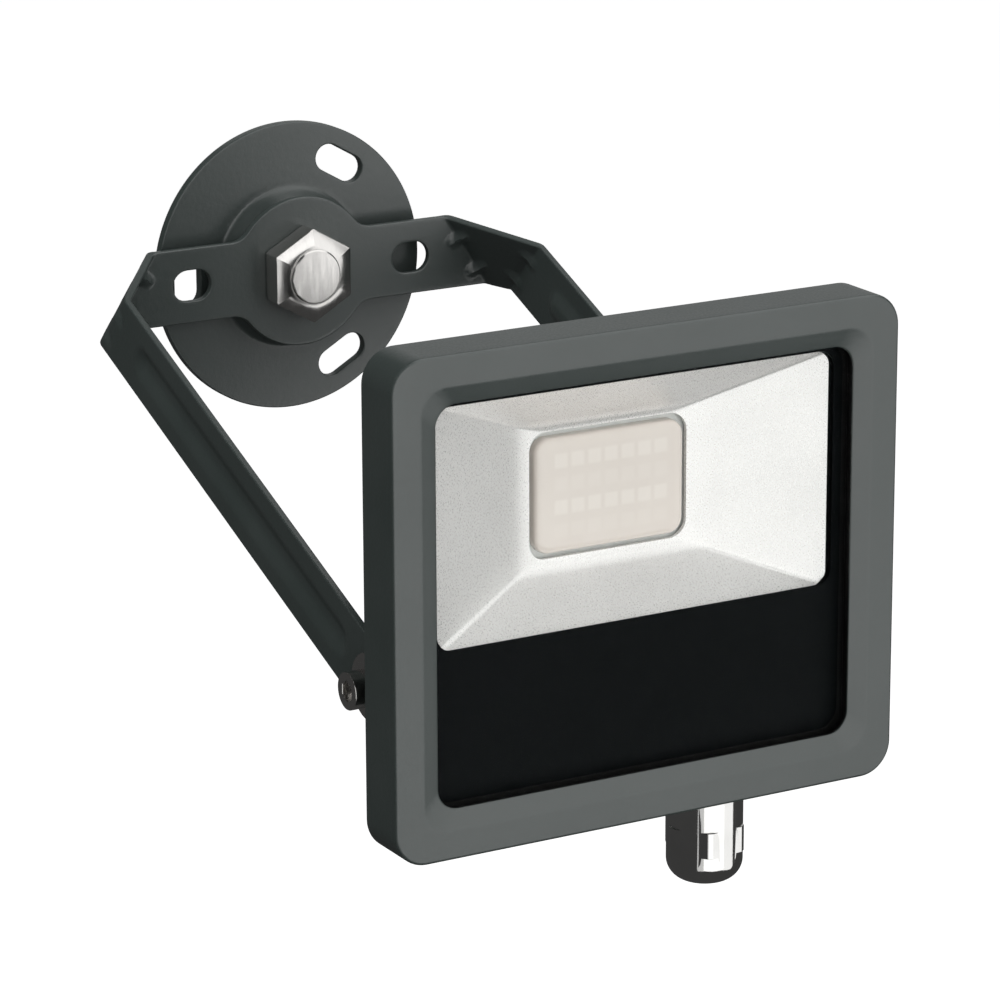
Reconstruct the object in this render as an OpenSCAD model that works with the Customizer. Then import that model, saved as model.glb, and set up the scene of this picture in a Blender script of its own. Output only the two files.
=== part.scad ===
// LED floodlight on a long folded wall bracket.
// Millimetres, +Z up. The wall is the plane Y = 0, the lamp faces -Y.
// Origin: where the centre bolt's axis meets the wall plane.

/* [Wall plate] */
// Outer diameter of the round wall plate
plate_d = 84.6; // [80:0.2:92]
// Thickness of the wall plate
plate_t = 3; // [2.5:0.1:3.5]
// Diameter of the raised boss where it leaves the plate
boss_d = 47; // [44:0.5:50]
// Height of the boss top above the wall
boss_top = 8.1; // [8:0.1:9]
// Radius at which the three fixing slots lie
slot_ring_r = 33; // [32:0.1:34]
// Width of a fixing slot in the plate
slot_w = 8; // [6:0.5:8.5]
// End-to-end length of a fixing slot in the plate
slot_len = 16; // [14:0.5:18]

/* [Centre bolt] */
// Thread diameter of the centre bolt
bolt_d = 15.9; // [15.8:0.02:15.92]
// Width across the flats of the nut
nut_af = 24; // [23.6:0.1:24]
// Height of the thin nut
nut_h = 8; // [7:0.5:9]
// Length of bolt standing out of the nut
bolt_out = 0.6; // [0.4:0.1:3]

/* [Bracket] */
// Thickness of the bracket's sheet
strap_t = 2; // [1.8:0.1:2.2]
// Height of the bracket's centre bar
bar_h = 21.8; // [20:0.2:24]
// Diameter of the round hub of the centre bar
hub_d = 43.8; // [42:0.2:46]
// Distance between the inner faces of the two arms
arm_gap = 131; // [131:0.1:131.4]
// Half width of an arm along its length
arm_half = 10.6; // [10:0.1:11]
// Radius of an arm's round end at the pivot
arm_end_r = 9.2; // [8.5:0.1:9.3]
// Distance of each strap slot from the bolt axis
strap_slot_x = 35.4; // [34:0.1:37]
// Angle of the first fold
fold_angle = 63; // [62:0.5:64]

/* [Lamp] */
// Width of the lamp's front frame
frame_w = 150; // [149.6:0.2:151]
// Height of the lamp's front frame
frame_h = 132; // [131.6:0.2:133]
// Depth of the front frame
frame_d = 16; // [15.6:0.1:16]
// Distance from the wall to the lamp's front face
reach = 204.3; // [204:0.1:206]
// Height of the lamp's centre below the bolt axis
drop = 41.3; // [40:0.1:43]
// Thickness of the front glass
glass_t = 4; // [3.6:0.1:4]

/* [Reflector and light source] */
// Width of the reflector's mouth
refl_w = 117; // [114:0.5:117]
// Height of the reflector's mouth
refl_h = 63.5; // [60:0.5:63.5]
// Width of the frosted lens dome
lens_w = 46.6; // [44:0.2:46.6]
// Height of the frosted lens dome
lens_h = 33.2; // [31:0.2:33.2]
// Light-emitting diodes in a row
chip_cols = 7; // [5:1:7]
// Rows of light-emitting diodes
chip_rows = 4; // [3:1:4]

/* [Housing] */
// Depth from the lamp's face to the inside of the back wall
back_inner = 42; // [42:0.5:43]
// Thickness of the back wall
back_t = 3; // [2.6:0.1:3.4]
// Number of cooling fins on the back
fin_count = 13; // [9:2:15]
// Height of a cooling fin
fin_h = 9; // [6:0.5:10]

/* [Cable gland] */
// Width across the flats of the gland's hexagons
gland_af = 20; // [19:0.2:20]
// Diameter of cable the gland's seal takes
cable_d = 8; // [6:0.5:9]

/* [Hidden] */
$fn = 64;

// small distances
eps = 0.05;
face_gap = 0.02;
run_gap = 0.08;

// wall plate
boss_wall = 3;
boss_slope = 4;
head_r = 13;
head_r_flat = 11.8;
plate_hole_r = bolt_d / 2 + run_gap;
slot_turns = [60, 180, 300];

// stack of parts on the centre bolt, heights above the wall
washer_t = 1;
washer_in = 1;
strap_back = boss_top + washer_t + face_gap;
strap_face = strap_back + strap_t;
nut_base = strap_face + face_gap;
nut_top = nut_base + nut_h;
bolt_end = nut_top + bolt_out;
bolt_chamfer = 0.4;
strap_hole_r = bolt_d / 2 + run_gap;
nut_crown = 1;
nut_face_r = 8.4;

// bracket
hub_fillet = 7;
fold_top_x = 46.9;
fold_low_x = 61.1;
fold2_top_s = 15.9;
fold2_low_s = 29.5;
strap_slot_w = 9;
strap_slot_len = 12;
arm_in = arm_gap / 2;
arm_out = arm_in + strap_t;
fold_bead = 0.12;
bead_end = 0.3;
rib_r = 1.1;
rib_reach = 2.6;
ribs_1 = [0.31, 0.75];
ribs_2 = [0.28, 0.75];
arm_neck = 7;
groove_r = 10;
groove_depth = 2;
groove_wall = 1.6;
groove_near = 21;
groove_far = 144.5;

// tilt pivot, in the lamp's own frame
pivot_y = 25.6;
pivot_z = -25.5;
pivot_at = [0, pivot_y - reach, pivot_z - drop];
pivot_d = 5.9;
pivot_hole_r = pivot_d / 2 + run_gap;
pivot_head_r = 5;
pivot_head_h = 6;
pivot_washer_r = 9;
pivot_washer_t = 1.6;
hex_key_af = 5;
hex_key_deep = 3;
disc_t = 1;
disc_inset = 0.4;
ear_r = 9;
ear_face = arm_in - disc_t - 2 * face_gap;
pivot_tip = 55;
ear_in = 54;

// front frame and glass, depths from the lamp's face
frame_r = 9;
rim_w = 8.2;
rim_r = 8;
sight_r = 6;
facets = 48;
lens_facets = 32;
sight_w = 13.05;
sight_deep = 1.65;
ledge = 2.1;
frame_wall = 3;
gasket_lip = 0.6;
gasket_w = 1.5;
glass_r = 5;
glass_at = ledge + gasket_lip;
glass_back = glass_at + glass_t;
flange_at = glass_back + 1.5;
flange_t = 4;
flange_back = flange_at + flange_t;
glass_in = 11;
corner_in = 7.6;
corner_x = frame_w / 2 - corner_in;
corner_z = frame_h / 2 - corner_in;
corner_post_r = 3.4;
corner_screw_floor = 1;
corner_head_r = 3.1;
corner_head_h = 2.2;
corner_key_r = 1.5;
corner_key_deep = 1.2;
corner_clear_r = 1.9;

// housing
tub_w = 126;
tub_h = 106;
tub_r = 8;
tub_wall = 3.5;
tub_back = 36;
rear_w = 112;
rear_h = 96;
mouth_wall = 2.5;
mouth_r = 5.5;
flange_gap = 0.5;
boss_in_r = 7;
pedestal_w = 1;
pedestal_r = 3;
join = 1;
cover_at = 8;
cover_t = 1.2;
cover_gap = 0.3;
cover_r = 5;
cover_clear = 0.2;
cover_back = cover_at + cover_t;
back_face = back_inner + back_t;
fin_t = 2.2;
fin_pitch = 8.4;
fin_z = 44;
boss_screw_r = 1.6;
thread_gap = 0.1;
pilot_gap = 0.05;
board_head_r = 2.7;
board_head_h = 1.7;
board_screw_deep = 6;
optic_z = 18.75;
lens_r = 4;
lens_front = 20.6;
lens_shoulder = 22;
lens_round_w = 5.6;
lens_round_h = 3.4;
lens_flange = 22.8;
lens_foot = 24.3;
lens_wall = 1.2;
lens_gap = 0.3;
lens_lip_w = 1.5;
lens_lip_h = 3;
lens_lip_r = 6;
board_t = 1.6;
board_r = 2;
board_w = 66;
board_h = 48;
board_back = lens_foot + board_t;
pad_t = 0.5;
pad_inset = 1;
pad_r = 1.5;
pad_clear = 0.4;
pedestal = board_back + pad_t;
board_screw_x = 29.6;
board_screw_z = 17;
chip = 3;
chip_t = 0.9;
chip_pitch_x = 5;
chip_pitch_z = 6.2;
refl_wall = 1;
refl_r = 4;
refl_foot_r = 6;
refl_room = 0.6;
refl_foot_w = 50;
refl_foot_h = 40;

// driver, terminals and wires
driver_x = [-44, 12];
driver_z = [-43, -16];
driver_y = 20;
tab_w = 6;
tab_t = 2;
tab_hole_r = 1.7;
driver_screw_r = 1.4;
driver_head_r = 2.6;
driver_head_h = 1.6;
pilot_deep = 2;
term_x = [24, 45];
term_z = [-36, -24];
term_y = 28;
term_poles = 3;
term_tab = 2;
term_tab_h = 8;
term_body_w = term_x[1] - term_x[0] - 2 * term_tab;
term_mid_z = (term_z[0] + term_z[1]) / 2;
term_pilot_r = 1.05;
term_hole_r = 1.9;
term_hole_deep = 5;
term_entry_y = term_y + 8;
term_entry_r = 1.5;
term_entry_deep = 4;
term_head_r = 1.8;
term_head_h = 2;
term_shank_r = 1.2;
term_sunk = 1;
earth_x = 45;
earth_z = -10;
earth_r = 1.9;
earth_head_r = 3.4;
earth_head_h = 2.4;
wire_r = 0.9;
led_wire_x = [-20, -12];
led_wire_rise = 8;
led_pad_up = 2;
led_wire_bow = 5;
led_wire_off = 1.5;
mains_in = 2.5;
mains_low = 4;
mains_step = 3;
wire_gap = 0.1;

// cable gland, in the lamp's own frame
gland_x = 34;
gland_y = 27.6;
spout_r = 11.2;
spout_low = -64;
thread_r = 7.9;
ring_t = 1.5;
body_hex_h = 5;
nut_low = -97.2;
band = [-88.2, -81];
cap_r = 10.4;
cap_round = 6;
neck_r = 8.6;
neck_low = -83;
seal_top = -76;
seal_low = -93;
gland_turn = 6;
gland_hex_clip = 0.45;
ring_r = 9.8;
gland_bore_r = 5.6;
gland_seat_r = 7.1;
seal_lip_r = 7;
seal_r = 6.6;
seal_room = 0.1;
cable_room = 1;
nut_gap = 0.4;
neck_room = 0.3;

function unit(v) = v / norm(v);

// drawn on the XY plane, raised away from the wall
module off_wall() {
  rotate([90, 0, 0]) children();
}

module lamp() {
  translate([0, -reach, -drop]) children();
}

// a flat outline between two depths of the lamp
module slab(y0, y1) {
  translate([0, y1, 0]) rotate([90, 0, 0]) linear_extrude(y1 - y0) children();
}

module rounded(w, h, r) {
  square([w - 2 * r, h], center = true);
  square([w, h - 2 * r], center = true);
  for (x = [-1, 1]) for (y = [-1, 1])
    translate([x * (w / 2 - r), y * (h / 2 - r)]) circle(r);
}

module slot_2d(len, w) {
  square([len - w, w], center = true);
  for (x = [-1, 1]) translate([x * (len - w) / 2, 0]) circle(w / 2);
}

// a cylinder between two depths of the lamp
module peg(x, z, r, y0, y1) {
  translate([x, y1, z]) rotate([90, 0, 0]) cylinder(h = y1 - y0, r = r);
}

// a cylinder between two points
module rod(p, q, r) {
  d = q - p;
  translate(p) rotate([0, acos(d[2] / norm(d)), atan2(d[1], d[0])]) cylinder(h = norm(d), r = r);
}

// a sheet of the bracket: u and v span it, points are measured from p
module sheet(p, u, v, points) {
  n = cross(u, v);
  multmatrix([[u[0], v[0], n[0], p[0]], [u[1], v[1], n[1], p[1]], [u[2], v[2], n[2], p[2]],
    [0, 0, 0, 1]])
    linear_extrude(strap_t, center = true)
      polygon([for (q = points) [(q - p) * u, (q - p) * v]]);
}

// pan-head screw whose head is towards the lamp's face
module screw(x, z, head_r, head_y, seat_y, shank_r, tip_y) {
  difference() {
    union() {
      peg(x, z, head_r, head_y, seat_y);
      peg(x, z, shank_r, seat_y - eps, tip_y);
    }
    for (a = [0, 90])
      translate([x, head_y, z]) rotate([0, a, 0]) cube([head_r, head_r / 2, head_r / 4], center = true);
  }
}

module wall_plate() {
  color("#4d5553")
    off_wall()
      difference() {
        rotate_extrude()
          polygon([[plate_hole_r, boss_top], [boss_d / 2 - boss_slope, boss_top],
            [boss_d / 2, plate_t], [plate_d / 2, plate_t], [plate_d / 2, 0],
            [boss_d / 2 - boss_wall, 0], [boss_d / 2 - boss_wall - boss_slope, boss_top - boss_wall],
            [plate_hole_r, boss_top - boss_wall]]);
        for (a = slot_turns)
          rotate(a) translate([slot_ring_r, 0, -eps]) rotate(90)
            linear_extrude(plate_t + 2 * eps) slot_2d(slot_len, slot_w);
      }
}

module centre_bolt() {
  color("#b8b8b6")
    off_wall() {
      cylinder(h = bolt_end - bolt_chamfer, r = bolt_d / 2);
      translate([0, 0, bolt_end - bolt_chamfer - eps])
        cylinder(h = bolt_chamfer + eps, r1 = bolt_d / 2, r2 = bolt_d / 2 - bolt_chamfer);
      intersection() {
        cylinder(h = boss_top - boss_wall, r = head_r);
        translate([-head_r_flat, -head_r, 0])
          cube([2 * head_r_flat, 2 * head_r, boss_top - boss_wall]);
      }
    }
}

module hex_nut() {
  corner = nut_af / 2 / cos(30);
  color("#c9c8c4")
    off_wall()
      translate([0, 0, nut_base])
        difference() {
          rotate(30) {
            cylinder(h = nut_h - nut_crown, r = corner, $fn = 6);
            translate([0, 0, nut_h - nut_crown - eps])
              cylinder(h = nut_crown + eps, r1 = corner, r2 = nut_face_r / cos(30), $fn = 6);
          }
          translate([0, 0, -eps]) cylinder(h = nut_h + 2 * eps, r = bolt_d / 2 + face_gap);
        }
}

module swivel_washer() {
  color("#2a2a2a")
    off_wall()
      translate([0, 0, boss_top + face_gap / 2])
        difference() {
          cylinder(h = washer_t, r = boss_d / 2 - boss_slope - washer_in);
          translate([0, 0, -eps]) cylinder(h = washer_t + 2 * eps, r = strap_hole_r);
        }
}

// centre bar seen from the front, with its hub and the fillets into the hub
module bar_2d() {
  hub_r = hub_d / 2;
  reach_r = hub_r + hub_fillet;
  rise = bar_h / 2 + hub_fillet;
  fx = sqrt(reach_r * reach_r - rise * rise);
  // how far the bar runs past its inner face line to the middle of the fold
  over = strap_t / 2 * tan(fold_angle / 2) * unit([bar_h, fold_low_x - fold_top_x]);
  top = [fold_top_x, bar_h / 2];
  low = [fold_low_x, -bar_h / 2];
  difference() {
    union() {
      circle(hub_r);
      for (s = [-1, 1])
        polygon([for (q = [[0, top[1]], top, top + over, low + over, low, [0, low[1]]])
          [s * q[0], q[1]]]);
      for (s = [-1, 1])
        polygon([[-fx, 0], [-fx, s * rise], [-fx * hub_r / reach_r, s * rise * hub_r / reach_r],
          [fx * hub_r / reach_r, s * rise * hub_r / reach_r], [fx, s * rise], [fx, 0]]);
    }
    for (x = [-fx, fx]) for (z = [-rise, rise])
      translate([x, z]) circle(hub_fillet - eps);
    for (s = [-1, 1]) translate([s * strap_slot_x, 0]) slot_2d(strap_slot_len, strap_slot_w);
    circle(strap_hole_r);
  }
}

// folded flap and long arm of the right-hand side
module bracket_side() {
  a1 = [fold_top_x, -strap_face, bar_h / 2];
  b1 = [fold_low_x, -strap_face, -bar_h / 2];
  u1 = unit(b1 - a1);
  m1 = [-u1[2], 0, u1[0]];
  e1 = cos(fold_angle) * m1 - sin(fold_angle) * [0, 1, 0];
  n1 = [0, 1, 0];
  n2 = cos(fold_angle) * n1 + sin(fold_angle) * m1;
  n3 = [1, 0, 0];
  a2 = a1 + fold2_top_s * u1 + (arm_in - a1[0] - fold2_top_s * u1[0]) / e1[0] * e1;
  b2 = a1 + fold2_low_s * u1 + (arm_in - a1[0] - fold2_low_s * u1[0]) / e1[0] * e1;
  w1 = strap_t / 2 * (n1 + n2) / (1 + n1 * n2);
  w2 = strap_t / 2 * (n2 + n3) / (1 + n2 * n3);
  u2 = unit(b2 - a2);
  back2 = cross(n2, u2);
  along2 = cross(n3, u2);
  // from the pivot towards the fold
  mid = (a2 + b2) / 2;
  c = unit([0, mid[1] - pivot_at[1], mid[2] - pivot_at[2]]);
  up = [0, -c[2], c[1]];
  arm_mid = [arm_in + strap_t / 2, pivot_at[1], pivot_at[2]];
  groove_x = arm_out + groove_r - groove_depth;
  g0 = [groove_x, arm_mid[1], arm_mid[2]] + groove_near * c;
  g1 = [groove_x, arm_mid[1], arm_mid[2]] + groove_far * c;
  difference() {
    union() {
      sheet(a1 + w1, u1, e1, [a1 + w1, b1 + w1, b2 + w2, a2 + w2]);
      sheet(arm_mid, [0, 1, 0], [0, 0, 1],
        [a2 + w2, b2 + w2, arm_mid + arm_neck * c - arm_half * up, arm_mid - arm_end_r * up,
          arm_mid + arm_end_r * up, arm_mid + arm_neck * c + arm_half * up]);
      translate([arm_in, pivot_at[1], pivot_at[2]]) rotate([0, 90, 0])
        cylinder(h = strap_t, r = arm_end_r);
      rod(a1 + w1 + bead_end * u1, b1 + w1 - bead_end * u1, strap_t / 2 + fold_bead);
      rod(a2 + w2 + bead_end * u2, b2 + w2 - bead_end * u2, strap_t / 2 + fold_bead);
      for (k = ribs_1)
        rod(a1 + w1 + k * (b1 - a1) - rib_reach * m1, a1 + w1 + k * (b1 - a1) + rib_reach * e1, rib_r);
      for (k = ribs_2)
        rod(a2 + w2 + k * (b2 - a2) + rib_reach * (back2 * e1 < 0 ? 1 : -1) * back2,
          a2 + w2 + k * (b2 - a2) + rib_reach * (along2[1] < 0 ? 1 : -1) * along2, rib_r);
      // stiffening channel pressed inwards
      intersection() {
        union() {
          rod(g0, g1, groove_r + groove_wall);
          for (p = [g0, g1]) translate(p) sphere(groove_r + groove_wall + eps);
        }
        translate([arm_in - 2 * groove_wall, pivot_at[1] - bar_h, pivot_at[2] - bar_h])
          cube([2 * groove_wall + strap_t / 2, reach, reach]);
      }
    }
    rod(g0, g1, groove_r);
    for (p = [g0, g1]) translate(p) sphere(groove_r + eps);
    translate([arm_in - eps, pivot_at[1], pivot_at[2]]) rotate([0, 90, 0])
      cylinder(h = strap_t + 2 * eps, r = pivot_hole_r);
  }
}

module bracket() {
  color("#454c4b") {
    off_wall() translate([0, 0, strap_back]) linear_extrude(strap_t) bar_2d();
    bracket_side();
    mirror([1, 0, 0]) bracket_side();
  }
}

module pivot_screws() {
  head_at = arm_out + pivot_washer_t + 2 * face_gap;
  color("#9a9a97")
    for (s = [0, 1]) mirror([s, 0, 0])
      translate([0, pivot_at[1], pivot_at[2]]) rotate([0, 90, 0])
        difference() {
          union() {
            translate([0, 0, pivot_tip]) cylinder(h = head_at - pivot_tip + eps, r = pivot_d / 2);
            translate([0, 0, head_at]) cylinder(h = pivot_head_h, r = pivot_head_r);
          }
          translate([0, 0, head_at + pivot_head_h - hex_key_deep])
            cylinder(h = hex_key_deep + eps, r = hex_key_af / 2 / cos(30), $fn = 6);
        }
}

module pivot_ring(x, t, r) {
  for (s = [0, 1]) mirror([s, 0, 0])
    translate([x, pivot_at[1], pivot_at[2]]) rotate([0, 90, 0])
      difference() {
        cylinder(h = t, r = r);
        translate([0, 0, -eps]) cylinder(h = t + 2 * eps, r = pivot_hole_r);
      }
}

module pivot_washers() {
  color("#a9a9a6") pivot_ring(arm_out + face_gap, pivot_washer_t, pivot_washer_r);
}

module pivot_discs() {
  color("#1d1d1d") pivot_ring(ear_face + face_gap, disc_t, ear_r - disc_inset);
}

module front_frame() {
  color("#5f6461")
    lamp()
      difference() {
        union() {
          difference() {
            slab(0, frame_d) rounded(frame_w, frame_h, frame_r);
            slab(ledge, frame_d + eps)
              rounded(frame_w - 2 * frame_wall, frame_h - 2 * frame_wall, frame_r - frame_wall);
            slab(-eps, ledge + eps)
              rounded(frame_w - 2 * sight_w, frame_h - 2 * sight_w, sight_r);
            // sloping sight edge around the glass
            hull() {
              slab(-eps, 0) rounded(frame_w - 2 * rim_w, frame_h - 2 * rim_w, rim_r, $fn = facets);
              slab(sight_deep, sight_deep + eps)
                rounded(frame_w - 2 * sight_w + eps, frame_h - 2 * sight_w + eps, sight_r,
                  $fn = facets);
            }
          }
          for (x = [-1, 1]) for (z = [-1, 1])
            peg(x * corner_x, z * corner_z, corner_post_r, ledge - eps, flange_at);
        }
        for (x = [-1, 1]) for (z = [-1, 1])
          peg(x * corner_x, z * corner_z, boss_screw_r, ledge + corner_screw_floor, flange_at + eps);
      }
}

module front_glass() {
  color("#101314", 0.35)
    lamp()
      slab(glass_at, glass_back)
        rounded(frame_w - 2 * glass_in, frame_h - 2 * glass_in, glass_r);
}

module glass_gasket() {
  color("#151515")
    lamp()
      difference() {
        slab(ledge, flange_at)
          rounded(frame_w - 2 * glass_in + 2 * gasket_w, frame_h - 2 * glass_in + 2 * gasket_w,
            glass_r + gasket_w);
        slab(glass_at, glass_back)
          rounded(frame_w - 2 * glass_in, frame_h - 2 * glass_in, glass_r);
        slab(ledge - eps, flange_at + eps)
          rounded(frame_w - 2 * sight_w, frame_h - 2 * sight_w, sight_r);
      }
}

module inner_cover() {
  color("#0c0d0e")
    lamp()
      slab(cover_at, cover_back)
        difference() {
          rounded(tub_w - 2 * mouth_wall - 2 * cover_gap, tub_h - 2 * mouth_wall - 2 * cover_gap,
            cover_r);
          translate([0, optic_z]) rounded(refl_w + 2 * cover_clear, refl_h + 2 * cover_clear,
            refl_r + cover_clear);
        }
}

module reflector() {
  color("#e8e7e4")
    lamp()
      translate([0, 0, optic_z])
        difference() {
          hull() {
            slab(cover_at, cover_at + refl_wall) rounded(refl_w, refl_h, refl_r, $fn = lens_facets);
            slab(lens_flange - refl_wall, lens_flange)
              rounded(refl_foot_w, refl_foot_h, refl_foot_r, $fn = lens_facets);
          }
          hull() {
            slab(cover_at - eps, cover_at)
              rounded(refl_w - 2 * refl_wall, refl_h - 2 * refl_wall, refl_r - refl_wall,
                $fn = lens_facets);
            slab(lens_flange - 2 * refl_wall, lens_flange - refl_wall)
              rounded(refl_foot_w - 3 * refl_wall, refl_foot_h - 3 * refl_wall,
                refl_foot_r - refl_wall, $fn = lens_facets);
          }
          slab(cover_at, lens_flange + eps)
            rounded(lens_w + 2 * lens_gap, lens_h + 2 * lens_gap, lens_r + lens_gap);
        }
}

module led_lens() {
  color("#efe8df", 0.8)
    lamp()
      translate([0, 0, optic_z])
        difference() {
          union() {
            lens_dome(0, lens_front);
            slab(lens_shoulder, lens_foot) rounded(lens_w, lens_h, lens_r);
            slab(lens_flange, lens_foot)
              rounded(lens_w + 2 * lens_lip_w, lens_h + 2 * lens_lip_h, lens_lip_r);
          }
          lens_dome(lens_wall, lens_front + lens_wall);
          slab(lens_shoulder, lens_foot + eps)
            rounded(lens_w - 2 * lens_wall, lens_h - 2 * lens_wall, lens_r - lens_wall);
        }
}

// crowned front of the lens, taken in by a wall thickness
module lens_dome(wall, front) {
  hull() {
    slab(front, front + eps)
      rounded(lens_w - lens_round_w - 2 * wall, lens_h - lens_round_h - 2 * wall, lens_r - wall / 2,
        $fn = lens_facets);
    slab(lens_shoulder, lens_shoulder + eps)
      rounded(lens_w - 2 * wall, lens_h - 2 * wall, lens_r - wall, $fn = lens_facets);
  }
}

module led_chips() {
  color("#f2d66a")
    lamp()
      for (i = [0 : chip_cols - 1]) for (j = [0 : chip_rows - 1])
        translate([(i - (chip_cols - 1) / 2) * chip_pitch_x - chip / 2, lens_foot - chip_t,
          optic_z + (j - (chip_rows - 1) / 2) * chip_pitch_z - chip / 2])
          cube([chip, chip_t, chip]);
}

module led_board() {
  color("#d9dcd8")
    lamp()
      translate([0, 0, optic_z])
        slab(lens_foot, board_back)
          difference() {
            rounded(board_w, board_h, board_r);
            for (x = [-1, 1]) for (z = [-1, 1])
              translate([x * board_screw_x, z * board_screw_z]) circle(boss_screw_r);
          }
}

module board_screws() {
  color("#b4b4b0")
    lamp()
      for (x = [-1, 1]) for (z = [-1, 1])
        screw(x * board_screw_x, optic_z + z * board_screw_z, board_head_r, lens_foot - board_head_h,
          lens_foot, boss_screw_r - thread_gap, pedestal + board_screw_deep);
}

module thermal_pad() {
  color("#7d8388")
    lamp()
      translate([0, 0, optic_z])
        slab(board_back, pedestal)
          difference() {
            rounded(board_w - 2 * pad_inset, board_h - 2 * pad_inset, pad_r);
            for (x = [-1, 1]) for (z = [-1, 1])
              translate([x * board_screw_x, z * board_screw_z]) circle(boss_screw_r + pad_clear);
          }
}

module housing() {
  color("#4b5150")
    lamp()
      difference() {
        union() {
          slab(flange_at, flange_back)
            rounded(frame_w - 2 * frame_wall - 2 * flange_gap, frame_h - 2 * frame_wall - 2 * flange_gap,
              mouth_r);
          slab(flange_at, tub_back) rounded(tub_w, tub_h, tub_r);
          slab(tub_back - join, back_face) rounded(rear_w, rear_h, tub_r);
          for (i = [0 : fin_count - 1])
            translate([(i - (fin_count - 1) / 2) * fin_pitch - fin_t / 2, back_face - eps, -fin_z])
              cube([fin_t, fin_h, 2 * fin_z]);
          for (s = [0, 1]) mirror([s, 0, 0])
            translate([tub_w / 2 - join, pivot_y, pivot_z]) rotate([0, 90, 0])
              cylinder(h = ear_face - tub_w / 2 + join, r = ear_r);
          translate([gland_x, gland_y, spout_low])
            cylinder(h = -spout_low - tub_h / 2 + tub_wall / 2, r = spout_r);
        }
        // hollow, with the light source's pedestal and the pivot bosses left standing
        difference() {
          union() {
            slab(cover_back, tub_back - tub_wall)
              rounded(tub_w - 2 * tub_wall, tub_h - 2 * tub_wall, tub_r - tub_wall);
            slab(cover_back, back_inner)
              rounded(rear_w - 2 * tub_wall, rear_h - 2 * tub_wall, tub_r - tub_wall);
          }
          slab(pedestal, back_inner + join)
            translate([0, optic_z])
              rounded(board_w + 2 * pedestal_w, board_h + 2 * pedestal_w, pedestal_r);
          for (s = [0, 1]) mirror([s, 0, 0])
            translate([ear_in, pivot_y, pivot_z]) rotate([0, 90, 0])
              cylinder(h = tub_w / 2 - ear_in, r = boss_in_r);
        }
        slab(flange_at - eps, cover_back + eps)
          rounded(tub_w - 2 * mouth_wall, tub_h - 2 * mouth_wall, mouth_r);
        // room for the reflector's upper edge
        slab(cover_at, flange_back)
          translate([0, optic_z])
            rounded(refl_w + refl_room, refl_h + refl_room, refl_r + refl_room / 2);
        for (s = [0, 1]) mirror([s, 0, 0])
          translate([ear_in - eps, pivot_y, pivot_z]) rotate([0, 90, 0])
            cylinder(h = ear_face - ear_in + 2 * eps, r = pivot_d / 2 + face_gap);
        for (x = [-1, 1]) for (z = [-1, 1]) {
          peg(x * corner_x, z * corner_z, corner_clear_r, flange_at - eps, flange_back + eps);
          peg(x * board_screw_x, optic_z + z * board_screw_z, boss_screw_r - pilot_gap,
            pedestal - eps, pedestal + board_screw_deep + join);
        }
        translate([gland_x, gland_y, spout_low - eps])
          cylinder(h = -spout_low - tub_h / 2 + tub_wall + 2 * eps, r = thread_r + face_gap);
        for (x = [driver_x[0] - tab_w / 2, driver_x[1] + tab_w / 2])
          peg(x, (driver_z[0] + driver_z[1]) / 2, driver_screw_r + pilot_gap, back_inner - eps,
            back_inner + pilot_deep);
        peg(earth_x, earth_z, earth_r + pilot_gap, back_inner - eps, back_inner + pilot_deep);
        for (x = [term_x[0] + term_tab, term_x[1] - term_tab])
          peg(x, term_mid_z, term_pilot_r, back_inner - eps, back_inner + pilot_deep);
      }
}

module frame_screws() {
  color("#b4b4b0")
    lamp()
      for (x = [-1, 1]) for (z = [-1, 1])
        difference() {
          union() {
            peg(x * corner_x, z * corner_z, corner_head_r, flange_back, flange_back + corner_head_h);
            peg(x * corner_x, z * corner_z, boss_screw_r - thread_gap,
              ledge + corner_screw_floor + flange_gap, flange_back + eps);
          }
          translate([x * corner_x, flange_back + corner_head_h - corner_key_deep + eps, z * corner_z])
            rotate([-90, 0, 0]) cylinder(h = corner_key_deep, r = corner_key_r, $fn = 6);
        }
}

module driver_case() {
  mid_z = (driver_z[0] + driver_z[1]) / 2;
  color("#dedede")
    lamp()
      difference() {
        union() {
          translate([driver_x[0], driver_y, driver_z[0]])
            cube([driver_x[1] - driver_x[0], back_inner - driver_y, driver_z[1] - driver_z[0]]);
          translate([driver_x[0] - tab_w, back_inner - tab_t, mid_z - tab_w])
            cube([driver_x[1] - driver_x[0] + 2 * tab_w, tab_t, 2 * tab_w]);
        }
        for (x = [driver_x[0] - tab_w / 2, driver_x[1] + tab_w / 2])
          peg(x, mid_z, tab_hole_r, back_inner - tab_t - eps, back_inner + eps);
      }
}

module driver_screws() {
  color("#b4b4b0")
    lamp()
      for (x = [driver_x[0] - tab_w / 2, driver_x[1] + tab_w / 2])
        screw(x, (driver_z[0] + driver_z[1]) / 2, driver_head_r, back_inner - tab_t - driver_head_h,
          back_inner - tab_t, driver_screw_r, back_inner + pilot_deep - thread_gap);
}

module terminal_block() {
  pole = term_body_w / term_poles;
  color("#e9e9e4")
    lamp()
      difference() {
        union() {
          translate([term_x[0] + term_tab, term_y, term_z[0]])
            cube([term_body_w, back_inner - term_y, term_z[1] - term_z[0]]);
          translate([term_x[0] - term_tab, back_inner - term_tab, term_mid_z - term_tab_h / 2])
            cube([term_x[1] - term_x[0] + 2 * term_tab, term_tab, term_tab_h]);
        }
        for (i = [0 : term_poles - 1]) {
          peg(term_x[0] + term_tab + pole * (i + 0.5), term_mid_z, term_hole_r, term_y - eps,
            term_y + term_hole_deep);
          translate([term_x[0] + term_tab + pole * (i + 0.5), term_entry_y, term_z[0] - eps])
            cylinder(h = term_entry_deep, r = term_entry_r);
        }
      }
}

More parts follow.
